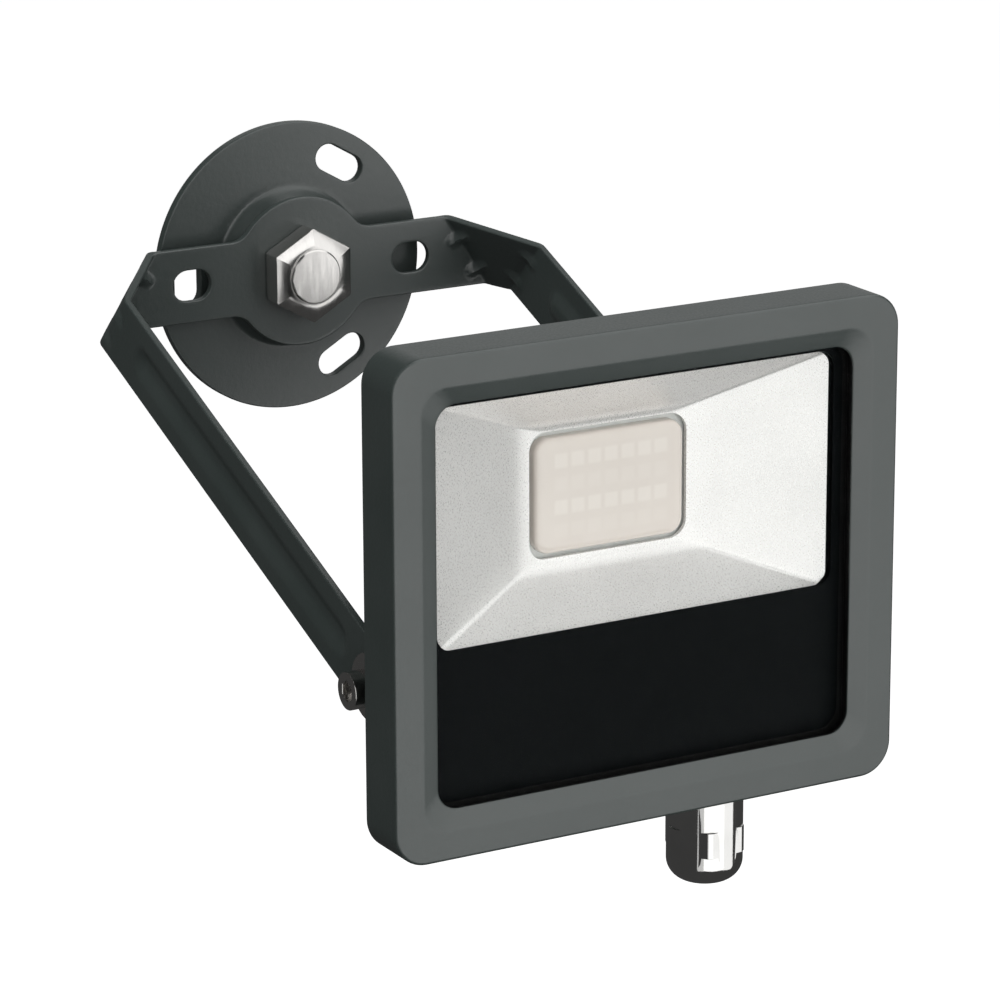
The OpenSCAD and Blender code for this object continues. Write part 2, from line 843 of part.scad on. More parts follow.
module terminal_screws() {
  pole = term_body_w / term_poles;
  color("#c8b070")
    lamp()
      for (i = [0 : term_poles - 1])
        screw(term_x[0] + term_tab + pole * (i + 0.5), term_mid_z, term_head_r, term_y + term_sunk,
          term_y + term_sunk + term_head_h, term_shank_r, term_y + term_hole_deep);
}

// a run of wire through a list of points
module wire(points) {
  for (i = [0 : len(points) - 2]) rod(points[i], points[i + 1], wire_r);
  for (i = [1 : len(points) - 2]) translate(points[i]) sphere(wire_r + face_gap * 2);
}

module led_wires() {
  wire_y = driver_y + led_wire_rise;
  pad_z = optic_z - board_h / 2 + led_pad_up;
  over = lens_foot - led_wire_off;
  color("#b02a22")
    lamp()
      for (x = led_wire_x)
        wire([[x, wire_y, driver_z[1] + wire_gap], [x, wire_y, pad_z - led_wire_bow],
          [x, over, pad_z - led_wire_bow], [x, over, pad_z], [x, lens_foot - wire_gap, pad_z]]);
}

module mains_wires() {
  pole = term_body_w / term_poles;
  color("#7a4a25")
    lamp()
      for (i = [0 : 1]) {
        px = term_x[0] + term_tab + pole * (i + 0.5);
        low = term_z[0] - mains_low - mains_step * i;
        wire([[px, term_entry_y, term_z[0] + mains_in], [px, term_entry_y, low],
          [driver_x[1] + wire_gap, term_entry_y, low]]);
      }
}

module earth_screw() {
  color("#c2a24a")
    lamp()
      screw(earth_x, earth_z, earth_head_r, back_inner - earth_head_h, back_inner, earth_r,
        back_inner + pilot_deep - thread_gap);
}

module gland_axis() {
  lamp() translate([gland_x, gland_y, 0]) rotate(gland_turn) children();
}

module gland_hex(z0, z1) {
  corner = gland_af / 2 / cos(30);
  intersection() {
    translate([0, 0, z0]) cylinder(h = z1 - z0, r = corner, $fn = 6);
    translate([0, 0, z0]) cylinder(h = z1 - z0, r = corner - gland_hex_clip);
  }
}

module gland_body() {
  ring_low = spout_low - ring_t;
  hex_low = ring_low - body_hex_h;
  color("#b9bab8")
    gland_axis()
      difference() {
        union() {
          translate([0, 0, ring_low - eps])
            cylinder(h = -ring_low - tub_h / 2 + tub_wall + eps, r = thread_r);
          gland_hex(hex_low, ring_low);
          translate([0, 0, neck_low]) cylinder(h = hex_low - neck_low + eps, r = neck_r);
        }
        translate([0, 0, neck_low - eps]) cylinder(h = -neck_low, r = gland_bore_r);
        translate([0, 0, neck_low - eps]) cylinder(h = seal_top - neck_low + eps, r = gland_seat_r);
      }
}

module gland_ring() {
  color("#161616")
    gland_axis()
      translate([0, 0, spout_low - ring_t])
        difference() {
          cylinder(h = ring_t, r = ring_r);
          translate([0, 0, -eps]) cylinder(h = ring_t + 2 * eps, r = thread_r + face_gap);
        }
}

module gland_seal() {
  color("#1b1b1b")
    gland_axis()
      difference() {
        union() {
          translate([0, 0, neck_low]) cylinder(h = seal_top - neck_low, r = seal_lip_r);
          translate([0, 0, seal_low]) cylinder(h = neck_low - seal_low + eps, r = seal_r);
        }
        translate([0, 0, seal_low - eps]) cylinder(h = seal_top - seal_low + 2 * eps, r = cable_d / 2);
      }
}

module gland_nut() {
  hex_low = spout_low - ring_t - body_hex_h;
  color("#c4c5c3")
    gland_axis()
      difference() {
        union() {
          rotate_extrude()
            difference() {
              union() {
                translate([0, nut_low]) square([cap_r - cap_round, cap_round]);
                translate([0, nut_low + cap_round])
                  square([cap_r, hex_low - nut_gap - nut_low - cap_round]);
                translate([cap_r - cap_round, nut_low + cap_round]) circle(cap_round);
              }
              translate([-cap_r, nut_low]) square([cap_r, -nut_low]);
            }
          gland_hex(band[0], band[1]);
        }
        translate([0, 0, nut_low - eps]) cylinder(h = -nut_low, r = cable_d / 2 + cable_room);
        translate([0, 0, seal_low - seal_room]) cylinder(h = -seal_low, r = seal_r + seal_room);
        translate([0, 0, neck_low - neck_room]) cylinder(h = -neck_low, r = neck_r + face_gap);
      }
}

wall_plate();
centre_bolt();
hex_nut();
swivel_washer();
bracket();
pivot_screws();
pivot_washers();
pivot_discs();
front_frame();
front_glass();
glass_gasket();
inner_cover();
reflector();
led_lens();
led_chips();
led_board();
board_screws();
thermal_pad();
housing();
frame_screws();
driver_case();
driver_screws();
terminal_block();
terminal_screws();
led_wires();
mains_wires();
earth_screw();
gland_body();
gland_ring();
gland_seal();
gland_nut();
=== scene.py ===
"""LED floodlight on a long folded wall bracket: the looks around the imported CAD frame."""

import math

import bmesh
import bpy
import numpy as np
from mathutils import Matrix, Vector
from mathutils.geometry import delaunay_2d_cdt


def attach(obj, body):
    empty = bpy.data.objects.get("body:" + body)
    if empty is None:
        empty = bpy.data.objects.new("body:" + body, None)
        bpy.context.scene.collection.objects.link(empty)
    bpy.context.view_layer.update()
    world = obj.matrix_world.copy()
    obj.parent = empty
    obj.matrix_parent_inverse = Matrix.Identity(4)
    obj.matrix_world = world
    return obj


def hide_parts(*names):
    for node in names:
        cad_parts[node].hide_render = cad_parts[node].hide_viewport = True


MM = 0.001

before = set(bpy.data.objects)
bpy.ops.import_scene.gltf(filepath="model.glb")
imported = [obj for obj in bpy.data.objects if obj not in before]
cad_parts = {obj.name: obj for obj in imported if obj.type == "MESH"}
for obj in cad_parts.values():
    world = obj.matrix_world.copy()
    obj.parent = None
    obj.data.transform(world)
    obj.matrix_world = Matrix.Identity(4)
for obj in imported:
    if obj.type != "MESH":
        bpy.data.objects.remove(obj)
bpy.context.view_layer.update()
scene = bpy.context.scene
scene.view_settings.view_transform = "Standard"


# ---------------------------------------------------------------- camera
CAMERA_AT = Vector((-0.5745, -1.1359, 0.2942))
CAMERA_YAW = math.radians(29.629)
CAMERA_PITCH = math.radians(16.059)
CAMERA_ROLL = math.radians(-0.227)
FOCAL_LENGTH = 161.2
SENSOR_WIDTH = 36.0


def make_camera():
    data = bpy.data.cameras.new("camera")
    data.sensor_width = SENSOR_WIDTH
    data.lens = FOCAL_LENGTH
    data.clip_start = 0.01
    data.clip_end = 50.0
    cam = bpy.data.objects.new("camera", data)
    scene.collection.objects.link(cam)
    ahead = Vector((math.sin(CAMERA_YAW) * math.cos(CAMERA_PITCH),
                    math.cos(CAMERA_YAW) * math.cos(CAMERA_PITCH), -math.sin(CAMERA_PITCH)))
    right = Vector((math.cos(CAMERA_YAW), -math.sin(CAMERA_YAW), 0.0))
    up = right.cross(ahead)
    turn = Matrix((right, up, -ahead)).transposed()
    roll = Matrix.Rotation(CAMERA_ROLL, 3, "Z")
    cam.matrix_world = Matrix.Translation(CAMERA_AT) @ (turn @ roll).to_4x4()
    scene.camera = cam


# ---------------------------------------------------------------- studio
LIT_POINT = Vector((0.0, -0.12, -0.03))
WORLD_STRENGTH = 0.05
FLOOR_HALF, FLOOR_AT = 24.0, -0.9
# name, azimuth, elevation, distance, width, height, radiance, whether for matt surfaces only
SOFTBOXES = (
    ("softbox_front", -2.0, 0.0, 1.7, 1.96, 2.4, 1.4, False),
    ("softbox_right", 44.0, 0.0, 1.7, 1.0, 2.4, 1.15, False),
    ("softbox_left", -41.0, 0.0, 1.7, 0.55, 2.4, 0.65, False),
    ("softbox_top", 64.0, 60.0, 1.3, 1.7, 1.2, 1.3, False),
    ("softbox_back", 150.0, 18.0, 1.4, 1.2, 0.9, 0.35, False),
    ("fill_left", -105.0, 50.0, 1.5, 1.0, 1.0, 4.4, True),
    ("fill_front", 10.0, 5.0, 1.6, 2.4, 2.0, 0.3, True),
)


def softbox(name, azimuth, elevation, distance, width, height, radiance, matt_only):
    """A soft light seen from the part at an azimuth (0 in front, + to the right) and elevation;
    one for matt surfaces only leaves no reflection."""
    a, e = math.radians(azimuth), math.radians(elevation)
    way = Vector((math.sin(a) * math.cos(e), -math.cos(a) * math.cos(e), math.sin(e)))
    data = bpy.data.lights.new(name, "AREA")
    data.shape = "RECTANGLE"
    data.size, data.size_y = width, height
    data.energy = radiance * math.pi * width * height
    light = bpy.data.objects.new(name, data)
    scene.collection.objects.link(light)
    light.location = LIT_POINT + way * distance
    light.rotation_mode = "QUATERNION"
    light.rotation_quaternion = (-way).to_track_quat("-Z", "Y")
    light.visible_camera = False
    light.visible_glossy = not matt_only


def make_studio():
    world = bpy.data.worlds.new("studio")
    scene.world = world
    world.use_nodes = True
    back = world.node_tree.nodes["Background"]
    back.inputs["Color"].default_value = (1.0, 1.0, 1.0, 1.0)
    back.inputs["Strength"].default_value = WORLD_STRENGTH
    for values in SOFTBOXES:
        softbox(*values)
    mesh = bpy.data.meshes.new("floor")
    half = FLOOR_HALF
    mesh.from_pydata([(-half, -half, 0), (half, -half, 0), (half, half, 0), (-half, half, 0)],
                     [], [(0, 1, 2, 3)])
    floor = bpy.data.objects.new("floor", mesh)
    scene.collection.objects.link(floor)
    floor.location = (0.0, 0.0, FLOOR_AT)
    mat = bpy.data.materials.new("floor")
    mat.use_nodes = True
    shader = mat.node_tree.nodes["Principled BSDF"]
    shader.inputs["Base Color"].default_value = (0.9, 0.9, 0.9, 1.0)
    shader.inputs["Roughness"].default_value = 0.9
    shader.inputs["Emission Color"].default_value = (1.0, 1.0, 1.0, 1.0)
    shader.inputs["Emission Strength"].default_value = 0.95
    mesh.materials.append(mat)
    floor.visible_glossy = False
    floor.visible_diffuse = False


# ---------------------------------------------------------------- materials
class Nodes:
    """A material's node tree, with short ways to add and join nodes."""

    def __init__(self, name):
        self.mat = bpy.data.materials.new(name)
        self.mat.use_nodes = True
        self.tree = self.mat.node_tree
        self.shader = self.tree.nodes["Principled BSDF"]
        self.where = self.add("ShaderNodeTexCoord").outputs["Object"]

    def add(self, kind, **values):
        node = self.tree.nodes.new(kind)
        for key, value in values.items():
            if key in node.inputs:
                node.inputs[key].default_value = value
            else:
                setattr(node, key, value)
        return node

    def join(self, a, b):
        self.tree.links.new(a, b)

    def set(self, **values):
        for key, value in values.items():
            self.shader.inputs[key.replace("_", " ")].default_value = value

    def noise(self, scale, detail=3.0, rough=0.55, stretch=None):
        node = self.add("ShaderNodeTexNoise", Scale=scale, Detail=detail, Roughness=rough)
        if stretch:
            mapping = self.add("ShaderNodeMapping")
            mapping.inputs["Scale"].default_value = stretch
            self.join(self.where, mapping.inputs["Vector"])
            self.join(mapping.outputs["Vector"], node.inputs["Vector"])
        else:
            self.join(self.where, node.inputs["Vector"])
        return node.outputs["Fac"]

    def span(self, value, low, high, to_low, to_high):
        node = self.add("ShaderNodeMapRange")
        node.inputs["From Min"].default_value = low
        node.inputs["From Max"].default_value = high
        node.inputs["To Min"].default_value = to_low
        node.inputs["To Max"].default_value = to_high
        self.join(value, node.inputs["Value"])
        return node.outputs["Result"]

    def ramp(self, value, stops):
        node = self.add("ShaderNodeValToRGB")
        elements = node.color_ramp.elements
        while len(elements) < len(stops):
            elements.new(0.5)
        for element, (at, colour) in zip(elements, stops):
            element.position = at
            element.color = (*colour, 1.0)
        self.join(value, node.inputs["Fac"])
        return node.outputs["Color"]

    def bump(self, height, strength, distance, after=None):
        node = self.add("ShaderNodeBump", Strength=strength, Distance=distance)
        self.join(height, node.inputs["Height"])
        if after is not None:
            self.join(after, node.inputs["Normal"])
        return node.outputs["Normal"]

    def maths(self, operation, a, b=0.0):
        node = self.add("ShaderNodeMath", operation=operation)
        for value, socket in ((a, node.inputs[0]), (b, node.inputs[1])):
            if isinstance(value, (int, float)):
                socket.default_value = value
            else:
                self.join(value, socket)
        return node.outputs["Value"]

    def band(self, value, middle, half, soft=0.0003):
        """One within half of a middle, fading to nothing just outside."""
        away = self.maths("ABSOLUTE", self.maths("SUBTRACT", value, middle))
        return self.span(away, half - soft, half + soft, 1.0, 0.0)

    def grid(self, value, middle, pitch, half):
        """Bands repeated at a pitch."""
        part = self.maths("SUBTRACT", value, middle)
        part = self.maths("PINGPONG", part, pitch / 2)
        return self.span(part, half - 0.0003, half + 0.0003, 1.0, 0.0)

    def to(self, value, socket):
        self.join(value, self.shader.inputs[socket])


def powder_coat(name="anthracite_coat"):
    n = Nodes(name)
    cloud = n.noise(38.0, 4.0)
    grain = n.noise(1500.0, 2.0)
    n.to(n.ramp(cloud, [(0.3, (0.038, 0.049, 0.046)), (0.7, (0.046, 0.057, 0.054))]), "Base Color")
    n.to(n.span(grain, 0.3, 0.7, 0.28, 0.38), "Roughness")
    peel = n.bump(n.noise(620.0, 2.0), 0.16, 0.0002)
    n.to(n.bump(grain, 0.10, 0.0001, peel), "Normal")
    n.set(Metallic=0.0, Specular_IOR_Level=0.85)
    return n.mat


def stainless(name="satin_stainless"):
    n = Nodes(name)
    cloud = n.noise(70.0, 3.0)
    lines = n.noise(900.0, 3.0, 0.6, stretch=(1.0, 1.0, 0.12))
    n.to(n.ramp(cloud, [(0.3, (0.70, 0.685, 0.665)), (0.7, (0.75, 0.735, 0.715))]), "Base Color")
    n.to(n.span(lines, 0.3, 0.7, 0.17, 0.24), "Roughness")
    n.to(n.bump(lines, 0.04, 0.00003), "Normal")
    n.set(Metallic=1.0)
    return n.mat


def zinc(name="bright_zinc"):
    n = Nodes(name)
    cloud = n.noise(300.0, 4.0)
    n.to(n.ramp(cloud, [(0.3, (0.50, 0.50, 0.47)), (0.7, (0.64, 0.65, 0.66))]), "Base Color")
    n.to(n.span(cloud, 0.3, 0.7, 0.25, 0.42), "Roughness")
    n.to(n.bump(n.noise(1800.0), 0.08, 0.00005), "Normal")
    n.set(Metallic=1.0)
    return n.mat


def nickel(name="polished_nickel"):
    n = Nodes(name)
    cloud = n.noise(90.0, 4.0)
    n.to(n.ramp(cloud, [(0.3, (0.70, 0.695, 0.68)), (0.7, (0.77, 0.765, 0.75))]), "Base Color")
    n.to(n.span(n.noise(420.0, 3.0), 0.3, 0.7, 0.05, 0.11), "Roughness")
    n.to(n.bump(n.noise(700.0, 2.0), 0.02, 0.00005), "Normal")
    n.set(Metallic=1.0)
    return n.mat


def blasted_aluminium(name="blasted_aluminium"):
    n = Nodes(name)
    grain = n.noise(2600.0, 2.0, 0.7)
    cloud = n.noise(60.0, 3.0)
    n.to(n.ramp(cloud, [(0.3, (0.90, 0.885, 0.87)), (0.7, (0.94, 0.925, 0.91))]), "Base Color")
    n.to(n.span(grain, 0.3, 0.7, 0.24, 0.36), "Roughness")
    n.to(n.bump(grain, 0.05, 0.00005), "Normal")
    n.set(Metallic=0.45, Specular_IOR_Level=0.5)
    return n.mat


# the diodes seen through the cover, in metres in the shared frame
CHIP_PITCH_X, CHIP_PITCH_Z, CHIP_HALF = 0.005, 0.0062, 0.0019
CHIP_ROW_Z, CHIP_BRIGHT_Z = -0.01945, -0.01325
CHIPS_HALF_W, CHIPS_HALF_H, CHIPS_MIDDLE_Z = 0.0176, 0.0118, -0.02255


def opal(name="frosted_opal"):
    """Frosted cream plastic through which the rows of diodes show faintly."""
    n = Nodes(name)
    place = n.add("ShaderNodeSeparateXYZ")
    n.join(n.where, place.inputs["Vector"])
    across = n.grid(place.outputs["X"], 0.0, CHIP_PITCH_X, CHIP_HALF)
    up = n.grid(place.outputs["Z"], CHIP_ROW_Z, CHIP_PITCH_Z, CHIP_HALF)
    chips = n.maths("MULTIPLY", across, up)
    edge = n.maths("MULTIPLY", n.band(place.outputs["X"], 0.0, CHIPS_HALF_W),
                   n.band(place.outputs["Z"], CHIPS_MIDDLE_Z, CHIPS_HALF_H))
    chips = n.maths("MULTIPLY", chips, edge)
    # every other row is the brighter one
    rows = n.grid(place.outputs["Z"], CHIP_BRIGHT_Z, 2 * CHIP_PITCH_Z, 0.003)
    chips = n.maths("MULTIPLY", chips, n.maths("ADD", n.maths("MULTIPLY", rows, 0.65), 0.35))
    cloud = n.maths("MULTIPLY", n.noise(70.0, 2.0), 0.35)
    tone = n.maths("ADD", cloud, n.maths("MULTIPLY", chips, 0.38))
    n.to(n.ramp(tone, [(0.1, (0.80, 0.725, 0.665)), (0.8, (0.90, 0.835, 0.775))]), "Base Color")
    n.to(n.span(n.noise(900.0), 0.3, 0.7, 0.14, 0.22), "Roughness")
    n.to(n.bump(n.noise(1400.0, 2.0), 0.03, 0.00005), "Normal")
    n.set(Coat_Weight=0.6, Coat_Roughness=0.06)
    return n.mat


def clear_glass(name="clear_glass"):
    n = Nodes(name)
    n.tree.nodes.remove(n.shader)
    see = n.add("ShaderNodeBsdfTransparent", Color=(0.97, 0.975, 0.972, 1.0))
    gloss = n.add("ShaderNodeBsdfGlossy", Roughness=0.04)
    weight = n.add("ShaderNodeLayerWeight", Blend=0.04)
    n.join(n.ramp(n.noise(30.0), [(0.3, (0.9, 0.9, 0.9)), (0.7, (1.0, 1.0, 1.0))]),
           gloss.inputs["Color"])
    mix = n.add("ShaderNodeMixShader")
    n.join(weight.outputs["Fresnel"], mix.inputs["Fac"])
    n.join(see.outputs["BSDF"], mix.inputs[1])
    n.join(gloss.outputs["BSDF"], mix.inputs[2])
    out = [x for x in n.tree.nodes if x.type == "OUTPUT_MATERIAL"][0]
    n.join(mix.outputs["Shader"], out.inputs["Surface"])
    return n.mat


def plain(name, low, high, rough_low, rough_high, scale=200.0, bump=0.1, **more):
    """A moulded, painted or rubber finish: two shades, a mottled roughness and a fine grain."""
    n = Nodes(name)
    n.to(n.ramp(n.noise(scale, 4.0), [(0.3, low), (0.7, high)]), "Base Color")
    n.to(n.span(n.noise(scale * 6), 0.3, 0.7, rough_low, rough_high), "Roughness")
    n.to(n.bump(n.noise(scale * 8, 2.0), bump, 0.0001), "Normal")
    n.set(**more)
    return n.mat


COAT = powder_coat()
STEEL = stainless()
ZINC = zinc()
NICKEL = nickel()
REFLECTOR = blasted_aluminium()
OPAL = opal()
GLASS = clear_glass()
RUBBER = plain("seal_rubber", (0.005, 0.005, 0.005), (0.009, 0.009, 0.009), 0.5, 0.7, bump=0.2,
               Specular_IOR_Level=0.2)
FIBRE = plain("washer_fibre", (0.03, 0.03, 0.03), (0.055, 0.055, 0.052), 0.5, 0.7, bump=0.3)
BLACK = plain("cover_black", (0.0028, 0.0034, 0.0038), (0.0044, 0.005, 0.0055), 0.4, 0.55,
              bump=0.03, Specular_IOR_Level=0.1)
INK = plain("printed_black", (0.0030, 0.0040, 0.0045), (0.0040, 0.0050, 0.0056), 0.5, 0.6,
            bump=0.03, Specular_IOR_Level=0.05)
PHOSPHOR = plain("led_phosphor", (0.80, 0.62, 0.16), (0.90, 0.74, 0.28), 0.4, 0.6)
BOARD = plain("board_white", (0.78, 0.80, 0.78), (0.86, 0.87, 0.85), 0.35, 0.5)
PAD = plain("pad_grey", (0.28, 0.30, 0.31), (0.36, 0.38, 0.39), 0.6, 0.8)
DRIVER = plain("driver_plastic", (0.70, 0.70, 0.69), (0.80, 0.80, 0.79), 0.4, 0.6)
TERMINAL = plain("terminal_plastic", (0.76, 0.76, 0.72), (0.85, 0.85, 0.82), 0.35, 0.5)
BRASS = plain("terminal_brass", (0.62, 0.46, 0.20), (0.75, 0.60, 0.32), 0.2, 0.35, Metallic=1.0)
RED = plain("wire_red", (0.42, 0.04, 0.03), (0.52, 0.07, 0.05), 0.35, 0.5)
BROWN = plain("wire_brown", (0.20, 0.09, 0.04), (0.28, 0.14, 0.06), 0.35, 0.5)

NODE_MATERIALS = {
    "wall_plate": COAT, "bracket": COAT, "front_frame": COAT, "housing": COAT,
    "centre_bolt": STEEL, "hex_nut": STEEL, "pivot_screws": STEEL, "pivot_washers": STEEL,
    "swivel_washer": FIBRE, "pivot_discs": FIBRE, "front_glass": GLASS,
    "glass_gasket": RUBBER, "gland_ring": RUBBER, "gland_seal": RUBBER,
    "inner_cover": BLACK, "reflector": REFLECTOR, "led_lens": OPAL, "led_chips": PHOSPHOR,
    "led_board": BOARD, "thermal_pad": PAD, "board_screws": ZINC, "frame_screws": ZINC,
    "driver_screws": ZINC, "driver_case": DRIVER, "terminal_block": TERMINAL,
    "terminal_screws": BRASS, "earth_screw": BRASS, "led_wires": RED, "mains_wires": BROWN,
    "gland_body": NICKEL, "gland_nut": NICKEL,
}


def dress_nodes():
    for name, mat in NODE_MATERIALS.items():
        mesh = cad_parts[name].data
        mesh.materials.clear()
        mesh.materials.append(mat)


# ---------------------------------------------------------------- mesh tools
# how far the lamp's face stands off the wall, and its middle below the centre bolt
REACH = 204.3
DROP = 41.3


def lamp(points):
    """Points in millimetres from the middle of the lamp's face, as metres in the shared frame."""
    return [(x * MM, (y - REACH) * MM, (z - DROP) * MM) for x, y, z in points]


def finish_piece(name, mesh, mat, body, slot, replaced, sharp=35.0, weighted=True):
    mesh.validate()
    mesh.polygons.foreach_set("use_smooth", [True] * len(mesh.polygons))
    mesh.set_sharp_from_angle(angle=math.radians(sharp))
    mesh.materials.append(mat)
    piece = bpy.data.objects.new(name, mesh)
    scene.collection.objects.link(piece)
    if weighted:
        piece.modifiers.new("normals", "WEIGHTED_NORMAL").keep_sharp = True
    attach(piece, body)
    if replaced:
        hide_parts(*replaced)
    return piece


def build(name, verts, faces, mat, body, slot, replaced, **more):
    mesh = bpy.data.meshes.new(name)
    mesh.from_pydata([tuple(v) for v in verts], [], [tuple(f) for f in faces])
    return finish_piece(name, mesh, mat, body, slot, replaced, **more)


def rounded_ring(w, h, r, per_corner=12, per_side=6):
    """A rounded rectangle as a closed list of points, the same count whatever its size."""
    points = []
    corners = [(1, 1, 0), (-1, 1, 90), (-1, -1, 180), (1, -1, 270)]
    for i, (sx, sy, start) in enumerate(corners):
        cx, cy = sx * (w / 2 - r), sy * (h / 2 - r)
        for k in range(per_corner + 1):
            a = math.radians(start + 90 * k / per_corner)
            points.append((cx + r * math.cos(a), cy + r * math.sin(a)))
        nx, ny, _ = corners[(i + 1) % 4]
        a = math.radians(start + 90)
        here = (cx + r * math.cos(a), cy + r * math.sin(a))
        there = (nx * (w / 2 - r) + r * math.cos(a), ny * (h / 2 - r) + r * math.sin(a))
        for k in range(1, per_side):
            t = k / per_side
            points.append((here[0] + (there[0] - here[0]) * t,
                           here[1] + (there[1] - here[1]) * t))
    return points


def arc(cx, cy, r, start, end, steps):
    """Points along an arc, in degrees."""
    return [(cx + r * math.cos(math.radians(start + (end - start) * k / steps)),
             cy + r * math.sin(math.radians(start + (end - start) * k / steps)))
            for k in range(steps + 1)]


def loft(rings, closed):
    """Quads between rings of the same count; closed joins the last ring to the first."""
    n = len(rings[0])
    verts = [p for ring in rings for p in ring]
    faces = []
    for i in range(len(rings) if closed else len(rings) - 1):
        a, b = i * n, ((i + 1) % len(rings)) * n
        for k in range(n):
            j = (k + 1) % n
            faces.append((a + k, a + j, b + j, b + k))
    return verts, faces


def bevelled(name, node, mat, body, slot, width, segments=2, angle=32.0):
    """A finer copy of a CAD node: its flat faces made whole again and its edges rounded."""
    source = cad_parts[node].data
    bm = bmesh.new()
    bm.from_mesh(source)
    bmesh.ops.remove_doubles(bm, verts=bm.verts, dist=2e-6)
    bmesh.ops.dissolve_limit(bm, angle_limit=math.radians(0.6), verts=bm.verts, edges=bm.edges)
    for f in bm.faces:
        f.smooth = True
    edges = [e for e in bm.edges if len(e.link_faces) == 2
             and e.calc_face_angle(0.0) > math.radians(angle)]
    bmesh.ops.bevel(bm, geom=edges, offset=width * MM, segments=segments, profile=0.5,
                    affect="EDGES", clamp_overlap=True)
    bmesh.ops.triangulate(bm, faces=[f for f in bm.faces if len(f.verts) > 4])
    mesh = bpy.data.meshes.new(name)
    bm.to_mesh(mesh)
    bm.free()
    return finish_piece(name, mesh, mat, body, slot, [node])


# ---------------------------------------------------------------- lamp's front
FRAME_W, FRAME_H, FRAME_D, FRAME_R = 150.0, 132.0, 16.0, 9.0
FRAME_R_LEAST = 6.0
RIM, SIGHT, SIGHT_DEEP, WALL = 8.2, 13.05, 1.65, 3.0


def make_front_frame():
    """The die-cast front: side walls, flat rim, sloping sight edge and the hollow behind them."""
    edge = 0.9
    profile = [(WALL, FRAME_D), (0.25, FRAME_D), (0.07, FRAME_D - 0.07), (0.0, FRAME_D - 0.3)]
    profile += [(0.0, 12.0), (0.0, 7.0), (0.0, 2.5)]
    profile += [(edge - x, edge - y) for x, y in arc(0, 0, edge, 0, 90, 5)]
    profile += [(3.5, 0.0), (RIM - 0.9, 0.0), (RIM - 0.35, 0.01), (RIM, 0.06), (RIM + 0.4, 0.19)]
    slope = (SIGHT_DEEP - 0.19) / (SIGHT - RIM - 0.4)
    profile += [(RIM + 2.4, 0.19 + slope * 2.0), (SIGHT - 0.35, SIGHT_DEEP - 0.35 * slope)]
    profile += [(SIGHT - 0.1, SIGHT_DEEP + 0.02), (SIGHT, SIGHT_DEEP + 0.14), (SIGHT, 2.1)]
    profile += [(SIGHT - 2.0, 2.1), (WALL + 1.0, 2.1), (WALL + 0.3, 2.25), (WALL, 2.8), (WALL, 9.0)]
    rings = []
    for inset, y in profile:
        t = min(max(inset / SIGHT, 0.0), 1.0)
        r = max(FRAME_R - (3.0 * t if inset > WALL else inset), FRAME_R_LEAST)
        ring = rounded_ring(FRAME_W - 2 * inset, FRAME_H - 2 * inset, r)
        rings.append(lamp([(x, y, z) for x, z in ring]))
    verts, faces = loft(rings, True)
    build("front_bezel", verts, faces, COAT, "lamp_head", "anthracite", ["front_frame"])


REFL_Z = 18.75
REFL_HALF_W, REFL_HALF_H = 58.5, 31.75
REFL_AT, REFL_DEEP = 8.0, 14.3
FOOT_HALF_W, FOOT_HALF_H = 24.4, 18.6
LENS_W, LENS_H, LENS_R = 46.6, 33.2, 4.5
DOME_W, DOME_H, DOME_R = 44.6, 30.9, 4.2


def soft_least(a, b, k):
    """The lesser of two depths, rounded over where they meet."""
    h = np.clip(0.5 + 0.5 * (b - a) / k, 0.0, 1.0)
    return b * (1 - h) + a * h - k * h * (1 - h)


def reflector_depth(x, z):
    """How deep the reflector's face lies behind its mouth at a point of the mouth's plane."""
    side = (REFL_HALF_W - np.abs(x)) * REFL_DEEP / (REFL_HALF_W - FOOT_HALF_W)
    level = (REFL_HALF_H - np.abs(z)) * REFL_DEEP / (REFL_HALF_H - FOOT_HALF_H)
    wall = soft_least(side, level, 0.9)
    return soft_least(wall, np.full_like(wall, REFL_DEEP), 2.6)


def make_reflector():
    """A pressed reflector: four sloping walls with rounded valleys, open around the lens."""
    steps = 64
    rings = []
    gap = 0.35
    for k in range(steps + 1):
        t = (k / steps) ** 0.9
        w = (1 - t) * (REFL_HALF_W * 2 - 0.1) + t * (LENS_W + 2 * gap)
        h = (1 - t) * (REFL_HALF_H * 2 - 0.1) + t * (LENS_H + 2 * gap)
        r = (1 - t) * 3.6 + t * (LENS_R + gap)
        rings.append(rounded_ring(w, h, r, per_corner=16, per_side=40))
    faces_at = []
    for ring in rings:
        p = np.array(ring)
        y = REFL_AT + np.maximum(reflector_depth(p[:, 0], p[:, 1]), 0.0)
        faces_at.append([(a, b, c + REFL_Z) for a, b, c in zip(p[:, 0], y, p[:, 1])])
    lip = [(a, b + 1.1, c) for a, b, c in faces_at[-1]]
    back = [[(a, b + 0.9, c) for a, b, c in ring] for ring in reversed(faces_at[:-1])]
    rings3 = [lamp(r) for r in [*faces_at, lip, *back]]
    verts, faces = loft(rings3, True)
    build("reflector_pan", verts, faces, REFLECTOR, "lamp_head", "reflector_metal", ["reflector"])


